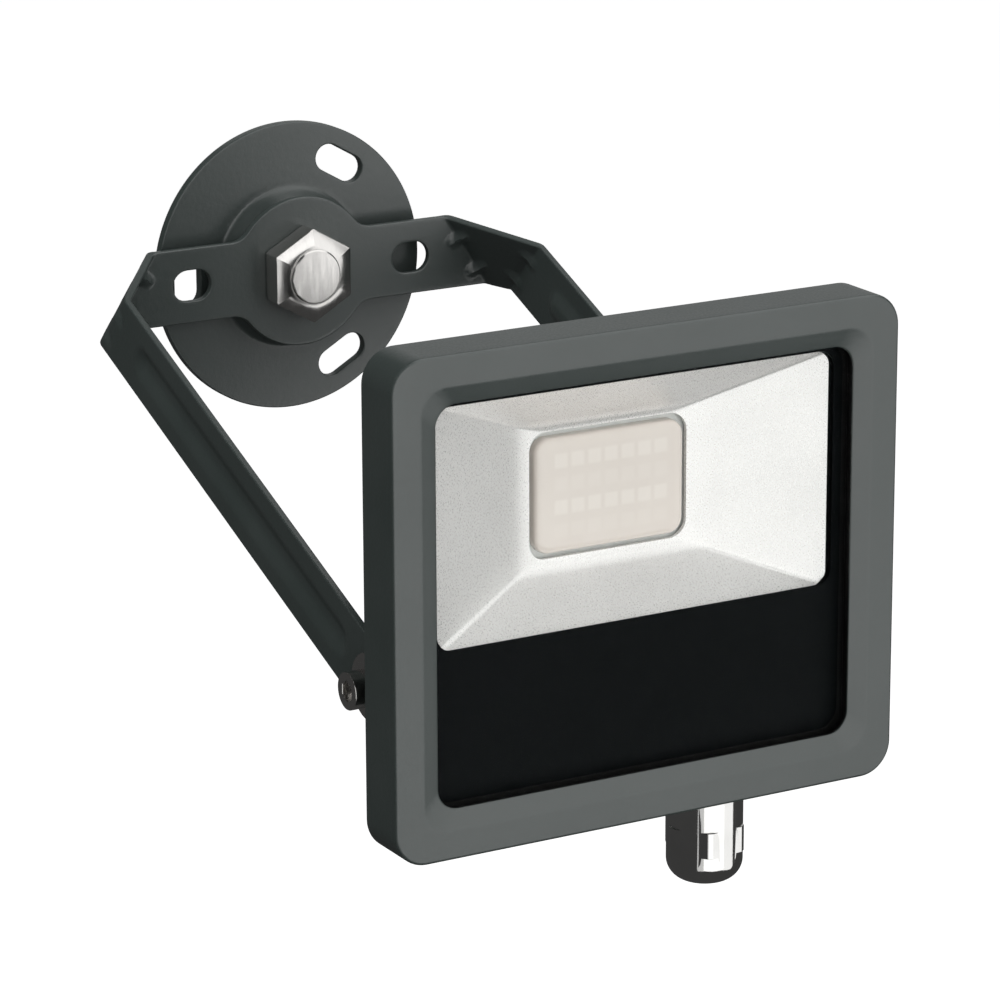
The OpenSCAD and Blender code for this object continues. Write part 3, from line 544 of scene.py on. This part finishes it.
def make_lens():
    """The frosted cover over the diodes: a crowned dome with a glossy shoulder."""
    shoulder = [(0.0, 24.2), (0.0, 23.5), (0.0, 22.6), (0.03, 22.1), (0.12, 21.7),
                (0.32, 21.32), (0.65, 21.02), (1.15, 20.78), (1.8, 20.62), (2.6, 20.53),
                (3.8, 20.47), (5.5, 20.42), (8.0, 20.38)]
    rings = []
    for inset, y in shoulder:
        w, h = DOME_W - 2 * inset, DOME_H - 2 * inset
        r = max(DOME_R - inset * 0.45, 1.5)
        rings.append([(x, y, z + REFL_Z) for x, z in rounded_ring(w, h, r, 12, 10)])
    inner_w, inner_h = DOME_W - 16.0, DOME_H - 16.0
    for t in (0.75, 0.5, 0.25):
        rings.append([(x, 20.35, z + REFL_Z) for x, z in
                      rounded_ring(inner_w * t, inner_h * t, 1.3 * t, 12, 10)])
    rings3 = [lamp(r) for r in rings]
    verts, faces = loft(rings3, False)
    n = len(rings3[0])
    centre = len(verts)
    verts.append(lamp([(0.0, 20.35, REFL_Z)])[0])
    last = (len(rings3) - 1) * n
    faces += [(last + k, last + (k + 1) % n, centre) for k in range(n)]
    faces.append(tuple(reversed(range(n))))
    build("lens_cover", verts, faces, OPAL, "lamp_head", "lens_opal", ["led_lens"], sharp=60.0)


def make_print():
    """The black border printed on the back of the glass, around the reflector and the cover."""
    front, back = 6.72, 6.80
    top, low, half = 50.9, -12.7, 59.2
    outer = (127.0, 109.0, 4.6, 0.0)
    window = (2 * half, top - low, 4.4, (top + low) / 2)
    rings = []
    for (w, h, r, up), y in ((outer, front), (window, front), (window, back), (outer, back)):
        rings.append(lamp([(x, y, z + up) for x, z in rounded_ring(w, h, r)]))
    verts, faces = loft(rings, True)
    build("glass_print", verts, faces, INK, "lamp_head", "cover_black", [])


NUT_BASE, NUT_EDGE, NUT_FACE = 11.14, 18.14, 19.14
NUT_ACROSS, BOLT_R = 24.0, 7.95
CROWN_TILT = math.radians(25.0)


def make_nut():
    """The nut: six sides with softened corners and a crowned face running up to the bolt."""
    per_side = 12
    corner = NUT_ACROSS / 2 / math.cos(math.pi / 6)

    def ring(scale, share, y):
        points = []
        for side in range(6):
            a0, a1 = math.radians(30 + 60 * side), math.radians(90 + 60 * side)
            p = np.array((math.cos(a0), math.sin(a0))) * corner
            q = np.array((math.cos(a1), math.sin(a1))) * corner
            for k in range(per_side):
                t = 0.02 + 0.96 * k / (per_side - 1)
                flat = (p + (q - p) * t) * scale
                a = a0 + (a1 - a0) * t
                round_at = np.array((math.cos(a), math.sin(a))) * (BOLT_R + 0.06)
                spot = flat * (1 - share) + round_at * share
                points.append((spot[0] * MM, -y * MM, spot[1] * MM))
        return points

    rings = [ring(1.0, 1.0, NUT_BASE), ring(0.97, 0.0, NUT_BASE),
             ring(0.995, 0.0, NUT_BASE + 0.25), ring(1.0, 0.0, NUT_BASE + 0.6),
             ring(1.0, 0.0, NUT_EDGE - 0.5),
             ring(0.998, 0.0, NUT_EDGE - 0.15), ring(0.985, 0.0, NUT_EDGE)]
    crown_start = len(rings) - 1
    steps = 14
    for k in range(1, steps + 1):
        t = k / steps
        rise = (NUT_FACE - NUT_EDGE) * (1 - (1 - t) ** 2)
        rings.append(ring(0.985, t, NUT_EDGE + rise))
    verts, faces = loft(rings, True)
    mesh = bpy.data.meshes.new("wall_nut")
    mesh.from_pydata(verts, [], faces)
    piece = finish_piece("wall_nut", mesh, STEEL, "wall_mount", "stainless", ["hex_nut"],
                         sharp=25.0, weighted=False)
    # the crown's shading: tilted outwards at the edge, level at the bolt
    count = 6 * per_side
    normals = [Vector((0.0, 0.0, 0.0))] * len(mesh.loops)
    for poly in mesh.polygons:
        for li in poly.loop_indices:
            row, col = divmod(mesh.loops[li].vertex_index, count)
            if row < crown_start or poly.index // count < crown_start:
                continue
            t = (row - crown_start) / steps
            side = math.radians(60 + 60 * ((poly.index % count) // per_side))
            x, _, z = verts[row * count + col]
            around = math.atan2(z, x)
            out_side = Vector((math.cos(side), 0.0, math.sin(side)))
            out_round = Vector((math.cos(around), 0.0, math.sin(around)))
            out = out_side.lerp(out_round, t).normalized()
            tilt = CROWN_TILT * (1 - t * t) ** 0.8
            normals[li] = (out * math.sin(tilt) + Vector((0.0, -1.0, 0.0)) * math.cos(tilt))
    mesh.normals_split_custom_set(normals)
    return piece


# ---------------------------------------------------------------- folded bracket
SHEET = 2.0
STRAP_MID = -10.12
BAR_HALF = 10.9
HUB_R, HUB_FILLET = 21.9, 7.0
FOLD_TOP_X, FOLD_LOW_X = 46.9, 61.1
FOLD1_LENGTH = 26.02
FOLD = math.radians(63)
BEND_R = 2.1
PIVOT_Y, PIVOT_Z = -178.7, -66.8
ARM_MID_X = 66.5
ARM_END_R = 9.2
ARM_HALF = 10.6
ARM_NECK = 7.0
FOLD2_TOP, FOLD2_LOW = 15.9, 29.5
# the channel's two ends as distances from the pivot, its depth, flat half width and flank
CHANNEL = (21.0, 144.5)
CHANNEL_DEEP, CHANNEL_FLAT, CHANNEL_FLANK = 1.62, 0.6, 5.2


def unit(v):
    """The same direction with a length of one."""
    v = np.array(v, float)
    return v / np.linalg.norm(v)


def round_path(points, radii, step=0.7):
    """An open path of straight runs with rounded corners, whose points lie about a step apart."""
    points = [np.array(p, float) for p in points]
    path = [points[0]]
    for i in range(1, len(points) - 1):
        a, b, c = points[i - 1], points[i], points[i + 1]
        r = radii[i]
        u, v = unit(a - b), unit(c - b)
        angle = math.acos(max(-1.0, min(1.0, float(u @ v))))
        if r <= 0 or angle > math.pi - 0.02:
            path.append(b)
            continue
        cut = r / math.tan(angle / 2)
        start, end = b + u * cut, b + v * cut
        centre = b + unit(u + v) * (r / math.sin(angle / 2))
        a0 = math.atan2(*(start - centre)[::-1])
        a1 = math.atan2(*(end - centre)[::-1])
        turn = (a1 - a0 + math.pi) % (2 * math.pi) - math.pi
        count = max(3, int(abs(turn) * r / step) + 1)
        path += [centre + r * np.array((math.cos(a0 + turn * k / count),
                                        math.sin(a0 + turn * k / count)))
                 for k in range(count + 1)]
    path.append(points[-1])
    return path


def spaced(path, step, closed=False):
    """The same path with extra points, so that none lie further apart than a step."""
    out = []
    pairs = zip(path, path[1:] + path[:1]) if closed else zip(path, path[1:])
    for a, b in pairs:
        a, b = np.array(a, float), np.array(b, float)
        count = max(1, int(math.ceil(np.linalg.norm(b - a) / step)))
        out += [a + (b - a) * k / count for k in range(count)]
    if not closed:
        out.append(np.array(path[-1], float))
    return out


def inside(points, loop):
    """Which points lie inside a closed loop."""
    x, y = points[:, 0], points[:, 1]
    a = np.array(loop)
    b = np.roll(a, -1, 0)
    result = np.zeros(len(points), bool)
    for (x0, y0), (x1, y1) in zip(a, b):
        if y0 == y1:
            continue
        hit = (y0 > y) != (y1 > y)
        result ^= hit & (x < (x1 - x0) * (y - y0) / (y1 - y0) + x0)
    return result


def distance(points, loop):
    """How far each point lies from a closed loop's line."""
    a = np.array(loop)
    b = np.roll(a, -1, 0)
    best = np.full(len(points), 1e9)
    for p, q in zip(a, b):
        d = q - p
        length = float(d @ d)
        if length < 1e-12:
            continue
        t = np.clip(((points - p) @ d) / length, 0, 1)
        best = np.minimum(best, np.linalg.norm(points - (p + t[:, None] * d), axis=1))
    return best


def offset_loop(loop, d):
    """A closed loop moved to its left by d."""
    a = np.array(loop)
    before, after = a - np.roll(a, 1, 0), np.roll(a, -1, 0) - a
    before /= np.linalg.norm(before, axis=1)[:, None]
    after /= np.linalg.norm(after, axis=1)[:, None]
    n0 = np.stack((-before[:, 1], before[:, 0]), 1)
    n1 = np.stack((-after[:, 1], after[:, 0]), 1)
    mid = n0 + n1
    mid /= np.maximum(np.einsum("ij,ij->i", mid, n0), 0.3)[:, None]
    return a + mid * d


def sheet_piece(outer, holes, lines, pitch, thickness, edge, place):
    """A sheet with rounded edges: outer and holes are closed loops, lines are creases to keep,
    and place(points, heights) puts flat points, at heights from the middle, into space."""
    loops = [np.array(outer)] + [np.array(h)[::-1] for h in holes]
    inset = [offset_loop(loop, edge) for loop in loops]
    verts = [tuple(p) for loop in inset for p in loop]
    spans, start = [], 0
    for loop in inset:
        spans.append((start, len(loop)))
        start += len(loop)
    edges = [(s + k, s + (k + 1) % n) for s, n in spans for k in range(n)]
    crease = []
    for line in lines:
        p = np.array(line)
        keep = inside(p, inset[0])
        for loop in inset[1:]:
            keep &= ~inside(p, loop)
        for loop in inset:
            keep &= distance(p, loop) > 0.4
        ids = []
        for q, ok in zip(p, keep):
            ids.append(len(verts) if ok else -1)
            if ok:
                verts.append(tuple(q))
                crease.append(q)
        edges += [(i, j) for i, j in zip(ids, ids[1:]) if i >= 0 and j >= 0]
    lo, hi = np.min(inset[0], 0), np.max(inset[0], 0)
    rows = int((hi[1] - lo[1]) / (pitch * 0.866)) + 1
    grid = []
    for j in range(rows + 1):
        shift = pitch / 2 if j % 2 else 0.0
        for i in range(int((hi[0] - lo[0]) / pitch) + 2):
            grid.append((lo[0] + i * pitch + shift, lo[1] + j * pitch * 0.866))
    grid = np.array(grid)
    keep = inside(grid, inset[0])
    grid = grid[keep]
    for loop in inset[1:]:
        grid = grid[~inside(grid, loop)]
    for loop in inset:
        grid = grid[distance(grid, loop) > pitch * 0.55]
    if crease:
        crease = np.array(crease)
        far = np.full(len(grid), 1e9)
        for q in crease:
            far = np.minimum(far, np.linalg.norm(grid - q, axis=1))
        grid = grid[far > pitch * 0.5]
    verts += [tuple(p) for p in grid]
    made = delaunay_2d_cdt([Vector(v) for v in verts], edges, [], 0, 1e-5)
    flat = np.array([tuple(v) for v in made[0]])
    origin = made[3]
    where = {}
    for i, sources in enumerate(origin):
        for s in sources:
            where[s] = i
    tris = np.array([f for f in made[2] if len(f) == 3])
    middle = flat[tris].mean(1)
    keep = inside(middle, inset[0])
    for loop in inset[1:]:
        keep &= ~inside(middle, loop)
    tris = tris[keep]
    a, b, c = flat[tris[:, 0]], flat[tris[:, 1]], flat[tris[:, 2]]
    area = (b[:, 0] - a[:, 0]) * (c[:, 1] - a[:, 1]) - (b[:, 1] - a[:, 1]) * (c[:, 0] - a[:, 0])
    tris[area < 0] = tris[area < 0][:, ::-1]
    half = thickness / 2
    n = len(flat)
    flat_all = [flat, flat]
    heights = [np.full(n, half), np.full(n, -half)]
    faces = [tuple(t) for t in tris] + [tuple(t[::-1] + n) for t in tris]
    count = 2 * n
    steps = 3
    for loop, (s, m) in zip(loops, spans):
        above = [where[s + k] for k in range(m)]
        below = [where[s + k] + n for k in range(m)]
        rims = [above]
        for side in (1, -1):
            order = range(1, steps + 1) if side > 0 else range(steps, 0, -1)
            for k in order:
                t = math.pi / 2 * k / steps
                ring = offset_loop(loop, edge * (1 - math.sin(t)))
                flat_all.append(ring)
                heights.append(np.full(m, side * (half - edge * (1 - math.cos(t)))))
                rims.append([count + i for i in range(m)])
                count += m
        rims.append(below)
        for upper, lower in zip(rims, rims[1:]):
            for k in range(m):
                j = (k + 1) % m
                faces.append((upper[j], upper[k], lower[k], lower[j]))
    return place(np.concatenate(flat_all), np.concatenate(heights)), faces


class Fold:
    """The right-hand half of the bracket, as it is laid out flat and as it is folded up."""

    def __init__(self):
        t = SHEET / 2
        a1 = np.array((FOLD_TOP_X, STRAP_MID - t, BAR_HALF))
        b1 = np.array((FOLD_LOW_X, STRAP_MID - t, -BAR_HALF))
        n1, n3 = np.array((0.0, 1.0, 0.0)), np.array((1.0, 0.0, 0.0))
        self.u1 = unit(b1 - a1)
        self.m1 = np.array((-self.u1[2], 0.0, self.u1[0]))
        e1 = math.cos(FOLD) * self.m1 - math.sin(FOLD) * n1
        n2 = math.cos(FOLD) * n1 + math.sin(FOLD) * self.m1
        inner = ARM_MID_X - t
        a2 = a1 + FOLD2_TOP * self.u1 + (inner - a1[0] - FOLD2_TOP * self.u1[0]) / e1[0] * e1
        b2 = a1 + FOLD2_LOW * self.u1 + (inner - a1[0] - FOLD2_LOW * self.u1[0]) / e1[0] * e1
        w1 = t * (n1 + n2) / (1 + n1 @ n2)
        w2 = t * (n2 + n3) / (1 + n2 @ n3)
        self.o1 = a1 + w1
        self.angle2 = math.acos(float(n2 @ n3))
        self.o2 = a2 + w2
        self.end2 = b2 + w2
        self.u2 = unit(b2 - a2)
        # in the flap: across the second fold, away from the first
        k2 = np.cross(n2, self.u2)
        self.k2 = k2 if k2 @ e1 > 0 else -k2
        k3 = np.cross(n3, self.u2)
        self.k3 = k3 if k3[1] < 0 else -k3
        self.e1, self.n2 = e1, n2
        # the same directions in the flat sheet
        self.U1 = np.array((self.u1[0], self.u1[2]))
        self.M1 = np.array((self.m1[0], self.m1[2]))
        self.O1 = np.array((self.o1[0], self.o1[2]))
        self.O2 = self.lay_flap(self.o2)
        self.E2 = self.lay_flap(self.end2)
        self.U2 = unit(self.E2 - self.O2)
        K = self.lay_flap(self.o2 + self.k2) - self.O2
        self.K2 = unit(K)

    def lay_flap(self, p):
        """A point of the folded flap's middle plane, in the flat sheet."""
        d = p - self.o1
        return self.O1 + (d @ self.u1) * self.U1 + (d @ self.e1) * self.M1

    def lay_arm(self, y, z):
        """A point of the folded arm's middle plane, in the flat sheet."""
        d = np.array((ARM_MID_X, y, z)) - self.o2
        return self.O2 + (d @ self.u2) * self.U2 + (d @ self.k3) * self.K2

    @staticmethod
    def bend(s, h, angle):
        """Across a fold: distance s and height h, as distances along the first sheet and off it."""
        t = BEND_R * math.tan(angle / 2)
        phi = np.clip((s + t) / (2 * t), 0, 1) * angle
        along = -t + (BEND_R - h) * np.sin(phi)
        off = BEND_R - (BEND_R - h) * np.cos(phi)
        before, after = np.minimum(s + t, 0), np.maximum(s - t, 0)
        return (along + before + after * np.cos(phi), off + after * np.sin(phi))

    def place(self, flat, h):
        """Flat points at heights towards the lamp's side, folded up, in millimetres."""
        d = flat - self.O1
        p1, s1 = d @ self.U1, d @ self.M1
        d2 = flat - self.O2
        p2, s2 = d2 @ self.U2, d2 @ self.K2
        along2, off2 = self.bend(s2, h, self.angle2)
        # a point of the flap or the arm, as distances along the flap's own directions
        o = np.array(((self.o2 - self.o1) @ self.u1, (self.o2 - self.o1) @ self.e1))
        u = np.array((self.u2 @ self.u1, self.u2 @ self.e1))
        k = np.array((self.k2 @ self.u1, self.k2 @ self.e1))
        fp = o[0] + p2 * u[0] + along2 * k[0]
        fs = o[1] + p2 * u[1] + along2 * k[1]
        flap = (self.o1 + fp[:, None] * self.u1 + fs[:, None] * self.e1
                - off2[:, None] * self.n2)
        along1, off1 = self.bend(s1, h, FOLD)
        near = (self.o1 + p1[:, None] * self.u1 + along1[:, None] * self.m1
                + off1[:, None] * np.array((0.0, -1.0, 0.0)))
        t1 = BEND_R * math.tan(FOLD / 2)
        return np.where((s1 > t1)[:, None], flap, near)


FOLDED = Fold()
GUSSET_W, GUSSET_REACH = 2.5, 5.0
GUSSETS_1 = (0.31, 0.75)
GUSSETS_2 = (0.28, 0.75)


def gussets():
    """Where each pressed gusset crosses a fold: centre, direction along it, direction across."""
    f = FOLDED
    out = []
    for k in GUSSETS_1:
        out.append((f.O1 + f.U1 * FOLD1_LENGTH * k, f.U1, f.M1))
    length2 = np.linalg.norm(f.E2 - f.O2)
    for k in GUSSETS_2:
        out.append((f.O2 + f.U2 * length2 * k, f.U2, f.K2))
    return out


def channel_ends():
    """The two ends of the right-hand arm's channel, in the flat sheet."""
    f = FOLDED
    mid = (f.o2 + f.end2) / 2
    c = unit((mid[1] - PIVOT_Y, mid[2] - PIVOT_Z))
    return [f.lay_arm(PIVOT_Y + c[0] * d, PIVOT_Z + c[1] * d) for d in CHANNEL]


def smooth(t):
    """From nought to one with a level start and end."""
    t = np.clip(t, 0, 1)
    return t * t * (3 - 2 * t)


def bracket_place(flat, h):
    """Both halves of the bracket folded, with the arms' channels and the gussets pressed in."""
    side = np.where(flat[:, 0] < 0, -1.0, 1.0)
    p = flat * np.stack((side, np.ones(len(flat))), 1)
    g0, g1 = channel_ends()
    d = g1 - g0
    t = np.clip(((p - g0) @ d) / (d @ d), 0, 1)
    away = np.linalg.norm(p - (g0 + t[:, None] * d), axis=1)
    press = CHANNEL_DEEP * (1 - smooth((away - CHANNEL_FLAT) / CHANNEL_FLANK))
    out = FOLDED.place(p, h + press)
    for centre, u, m in gussets():
        q = p - centre
        a, s = q @ u, q @ m
        pick = (np.abs(a) < GUSSET_W) & (np.abs(s) < GUSSET_REACH)
        if not pick.any():
            continue
        pa = centre + a[pick, None] * u
        low = FOLDED.place(pa - GUSSET_REACH * m, h[pick])
        high = FOLDED.place(pa + GUSSET_REACH * m, h[pick])
        share = ((s[pick] + GUSSET_REACH) / (2 * GUSSET_REACH))[:, None]
        chord = low * (1 - share) + high * share
        slope = 1 - np.abs(a[pick]) / GUSSET_W
        reach = np.sqrt(np.clip(1 - (s[pick] / GUSSET_REACH) ** 2, 0, 1))
        w = np.clip(slope - 0.25 * (1 - reach), 0, 1)[:, None]
        out[pick] = out[pick] * (1 - w) + chord * w
    out[:, 0] *= side
    return out * MM


def make_bracket():
    """The bracket, cut out as one flat sheet and folded up: bar with hub, two flaps, two arms."""
    f = FOLDED
    hub, fillet = HUB_R, HUB_FILLET
    rise = BAR_HALF + fillet
    fx = math.sqrt((hub + fillet) ** 2 - rise ** 2)
    start = math.degrees(math.atan2(rise, fx))
    shift = 0.335 / abs(f.U1[1])
    top1 = f.O1 + shift * f.U1
    low1 = np.array((top1[0] + 2 * BAR_HALF * f.U1[0] / abs(f.U1[1]), -BAR_HALF))
    pivot = f.lay_arm(PIVOT_Y, PIVOT_Z)
    mid = (f.o2 + f.end2) / 2
    c = unit((0.0, mid[1] - PIVOT_Y, mid[2] - PIVOT_Z))
    up = np.array((0.0, -c[2], c[1]))
    tip_a = f.lay_arm(PIVOT_Y - ARM_END_R * up[1], PIVOT_Z - ARM_END_R * up[2])
    tip_b = f.lay_arm(PIVOT_Y + ARM_END_R * up[1], PIVOT_Z + ARM_END_R * up[2])
    # upper edge: hub, fillet, bar, flap, arm
    upper = arc(0, 0, hub, 90, start, 24)[:-1] + arc(fx, rise, fillet, 180 + start, 270, 8)
    neck = [f.lay_arm(PIVOT_Y + ARM_NECK * c[1] + k * ARM_HALF * up[1],
                      PIVOT_Z + ARM_NECK * c[2] + k * ARM_HALF * up[2]) for k in (-1, 1)]
    if np.linalg.norm(tip_a - f.O2) > np.linalg.norm(tip_b - f.O2):
        tip_a, tip_b = tip_b, tip_a
        neck.reverse()
    upper += round_path([upper[-1], top1, f.O2, neck[0], tip_a], [0, 1.5, 2.5, 6.0, 0])[1:]
    a0 = math.atan2(*(tip_a - pivot)[::-1])
    a1 = math.atan2(*(tip_b - pivot)[::-1])
    turn = (a1 - a0) % (2 * math.pi)
    if turn > math.pi + 0.2:
        turn -= 2 * math.pi
    far = pivot + (pivot - (f.O2 + f.E2) / 2)
    test = pivot + ARM_END_R * np.array((math.cos(a0 + turn / 2), math.sin(a0 + turn / 2)))
    if np.linalg.norm(test - far) > np.linalg.norm(pivot - far):
        turn = turn - 2 * math.pi if turn > 0 else turn + 2 * math.pi
    end = [np.array(p) for p in arc(pivot[0], pivot[1], ARM_END_R, math.degrees(a0),
                                    math.degrees(a0 + turn), 30)]
    lower = round_path([tip_b, neck[1], f.E2, low1, (fx, -BAR_HALF)],
                       [0, 6.0, 2.5, 1.5, 0])[1:]
    lower += arc(fx, -rise, fillet, 90, 180 - start, 8)[1:] + arc(0, 0, hub, -start, -90, 24)[1:]
    right = [np.array(p, float) for p in upper + end[1:] + lower]
    left = [np.array((-p[0], p[1])) for p in reversed(right[1:-1])]
    outline = spaced(right + left, 0.8, closed=True)
    if signed_area(outline) < 0:
        outline = outline[::-1]
    holes = [circle_loop(0, 0, 8.06, 72)]
    for s in (-1, 1):
        holes.append(slot_loop(s * 35.4, 0.0, 12.0, 9.0))
        holes.append(circle_loop(s * pivot[0], pivot[1], 3.05, 36))
    lines = []
    t1 = BEND_R * math.tan(FOLD / 2)
    t2 = BEND_R * math.tan(f.angle2 / 2)
    for s in (-1, 1):
        flip = np.array((s, 1))
        for o, u, m, t, length in ((f.O1, f.U1, f.M1, t1, 27.0), (f.O2, f.U2, f.K2, t2, 30.0)):
            for k in (-1, -0.6, -0.2, 0.2, 0.6, 1):
                lines.append([(o + u * v + m * t * k) * flip
                              for v in np.arange(-2.0, length, 0.7)])
        for centre, u, m in gussets():
            for a in (-GUSSET_W, 0.0, GUSSET_W):
                for b0, b1 in ((-GUSSET_REACH, -t1 - 0.3), (t1 + 0.3, GUSSET_REACH)):
                    lines.append([(centre + u * a + m * b) * flip
                                  for b in np.linspace(b0, b1, 4)])
    verts, faces = sheet_piece(outline, holes, lines, 0.8, SHEET, 0.4, bracket_place)
    build("folded_bracket", verts, faces, COAT, "bracket_arm", "anthracite", ["bracket"],
          sharp=34.0)


def signed_area(loop):
    """The area inside a closed loop, positive when it runs anticlockwise."""
    a = np.array(loop)
    b = np.roll(a, -1, 0)
    return 0.5 * float((a[:, 0] * b[:, 1] - a[:, 1] * b[:, 0]).sum())


def circle_loop(x, y, r, count):
    """A circle as a closed loop."""
    return [(x + r * math.cos(2 * math.pi * k / count), y + r * math.sin(2 * math.pi * k / count))
            for k in range(count)]


def slot_loop(x, y, length, width, turn=0.0):
    """A slot with round ends, its length at an angle in degrees, anticlockwise."""
    r, half = width / 2, (length - width) / 2
    loop = arc(half, 0, r, -90, 90, 14) + arc(-half, 0, r, 90, 270, 14)
    c, s = math.cos(math.radians(turn)), math.sin(math.radians(turn))
    return [(x + c * a - s * b, y + s * a + c * b) for a, b in loop]


# ---------------------------------------------------------------- wall plate
PLATE_R, BOSS_R, BOSS_TOP, PLATE_T = 42.3, 23.5, 8.1, 3.0
PLATE_SLOT_AT, PLATE_SLOT_LEN, PLATE_SLOT_W = 33.0, 16.0, 8.0


def make_wall_plate():
    """The pressed wall plate: a flat disc with three slots and a raised boss with soft bends."""
    lift = BOSS_TOP - PLATE_T

    def place(flat, h):
        r = np.linalg.norm(flat, axis=1)
        rise = lift * (1 - smooth((r - (BOSS_R - 4.3)) / 4.6))
        y = -(PLATE_T / 2 + rise + h)
        return np.stack((flat[:, 0], y, flat[:, 1]), 1) * MM

    outer = circle_loop(0, 0, PLATE_R, 220)
    holes = [circle_loop(0, 0, 8.1, 72)]
    for a in (60, 180, 300):
        x = PLATE_SLOT_AT * math.cos(math.radians(a))
        z = PLATE_SLOT_AT * math.sin(math.radians(a))
        holes.append(slot_loop(x, z, PLATE_SLOT_LEN, PLATE_SLOT_W, a + 90))
    lines = [circle_loop(0, 0, r, int(6.3 * r)) for r in
             (18.6, 19.2, 19.9, 20.6, 21.3, 22.0, 22.7, 23.3, 23.9)]
    verts, faces = sheet_piece(outer, holes, lines, 1.6, PLATE_T, 0.45, place)
    build("wall_plate_disc", verts, faces, COAT, "wall_mount", "anthracite", ["wall_plate"],
          sharp=50.0)


def make_pieces():
    """Every visible piece that takes a CAD node's place, and the print on the glass."""
    make_front_frame()
    make_reflector()
    make_lens()
    make_print()
    make_nut()
    make_wall_plate()
    make_bracket()
    bevelled("housing_body", "housing", COAT, "lamp_head", "anthracite", 0.45)
    bevelled("wall_bolt", "centre_bolt", STEEL, "wall_mount", "stainless", 0.25)
    bevelled("cap_screws", "pivot_screws", STEEL, "lamp_head", "stainless", 0.3)
    bevelled("large_washers", "pivot_washers", STEEL, "lamp_head", "stainless", 0.25)
    bevelled("gland_cap", "gland_nut", NICKEL, "lamp_head", "nickel_brass", 0.18)
    bevelled("gland_base", "gland_body", NICKEL, "lamp_head", "nickel_brass", 0.2)
    bevelled("front_pane", "front_glass", GLASS, "lamp_head", "front_glass", 0.4)


make_camera()
make_studio()
dress_nodes()
make_pieces()
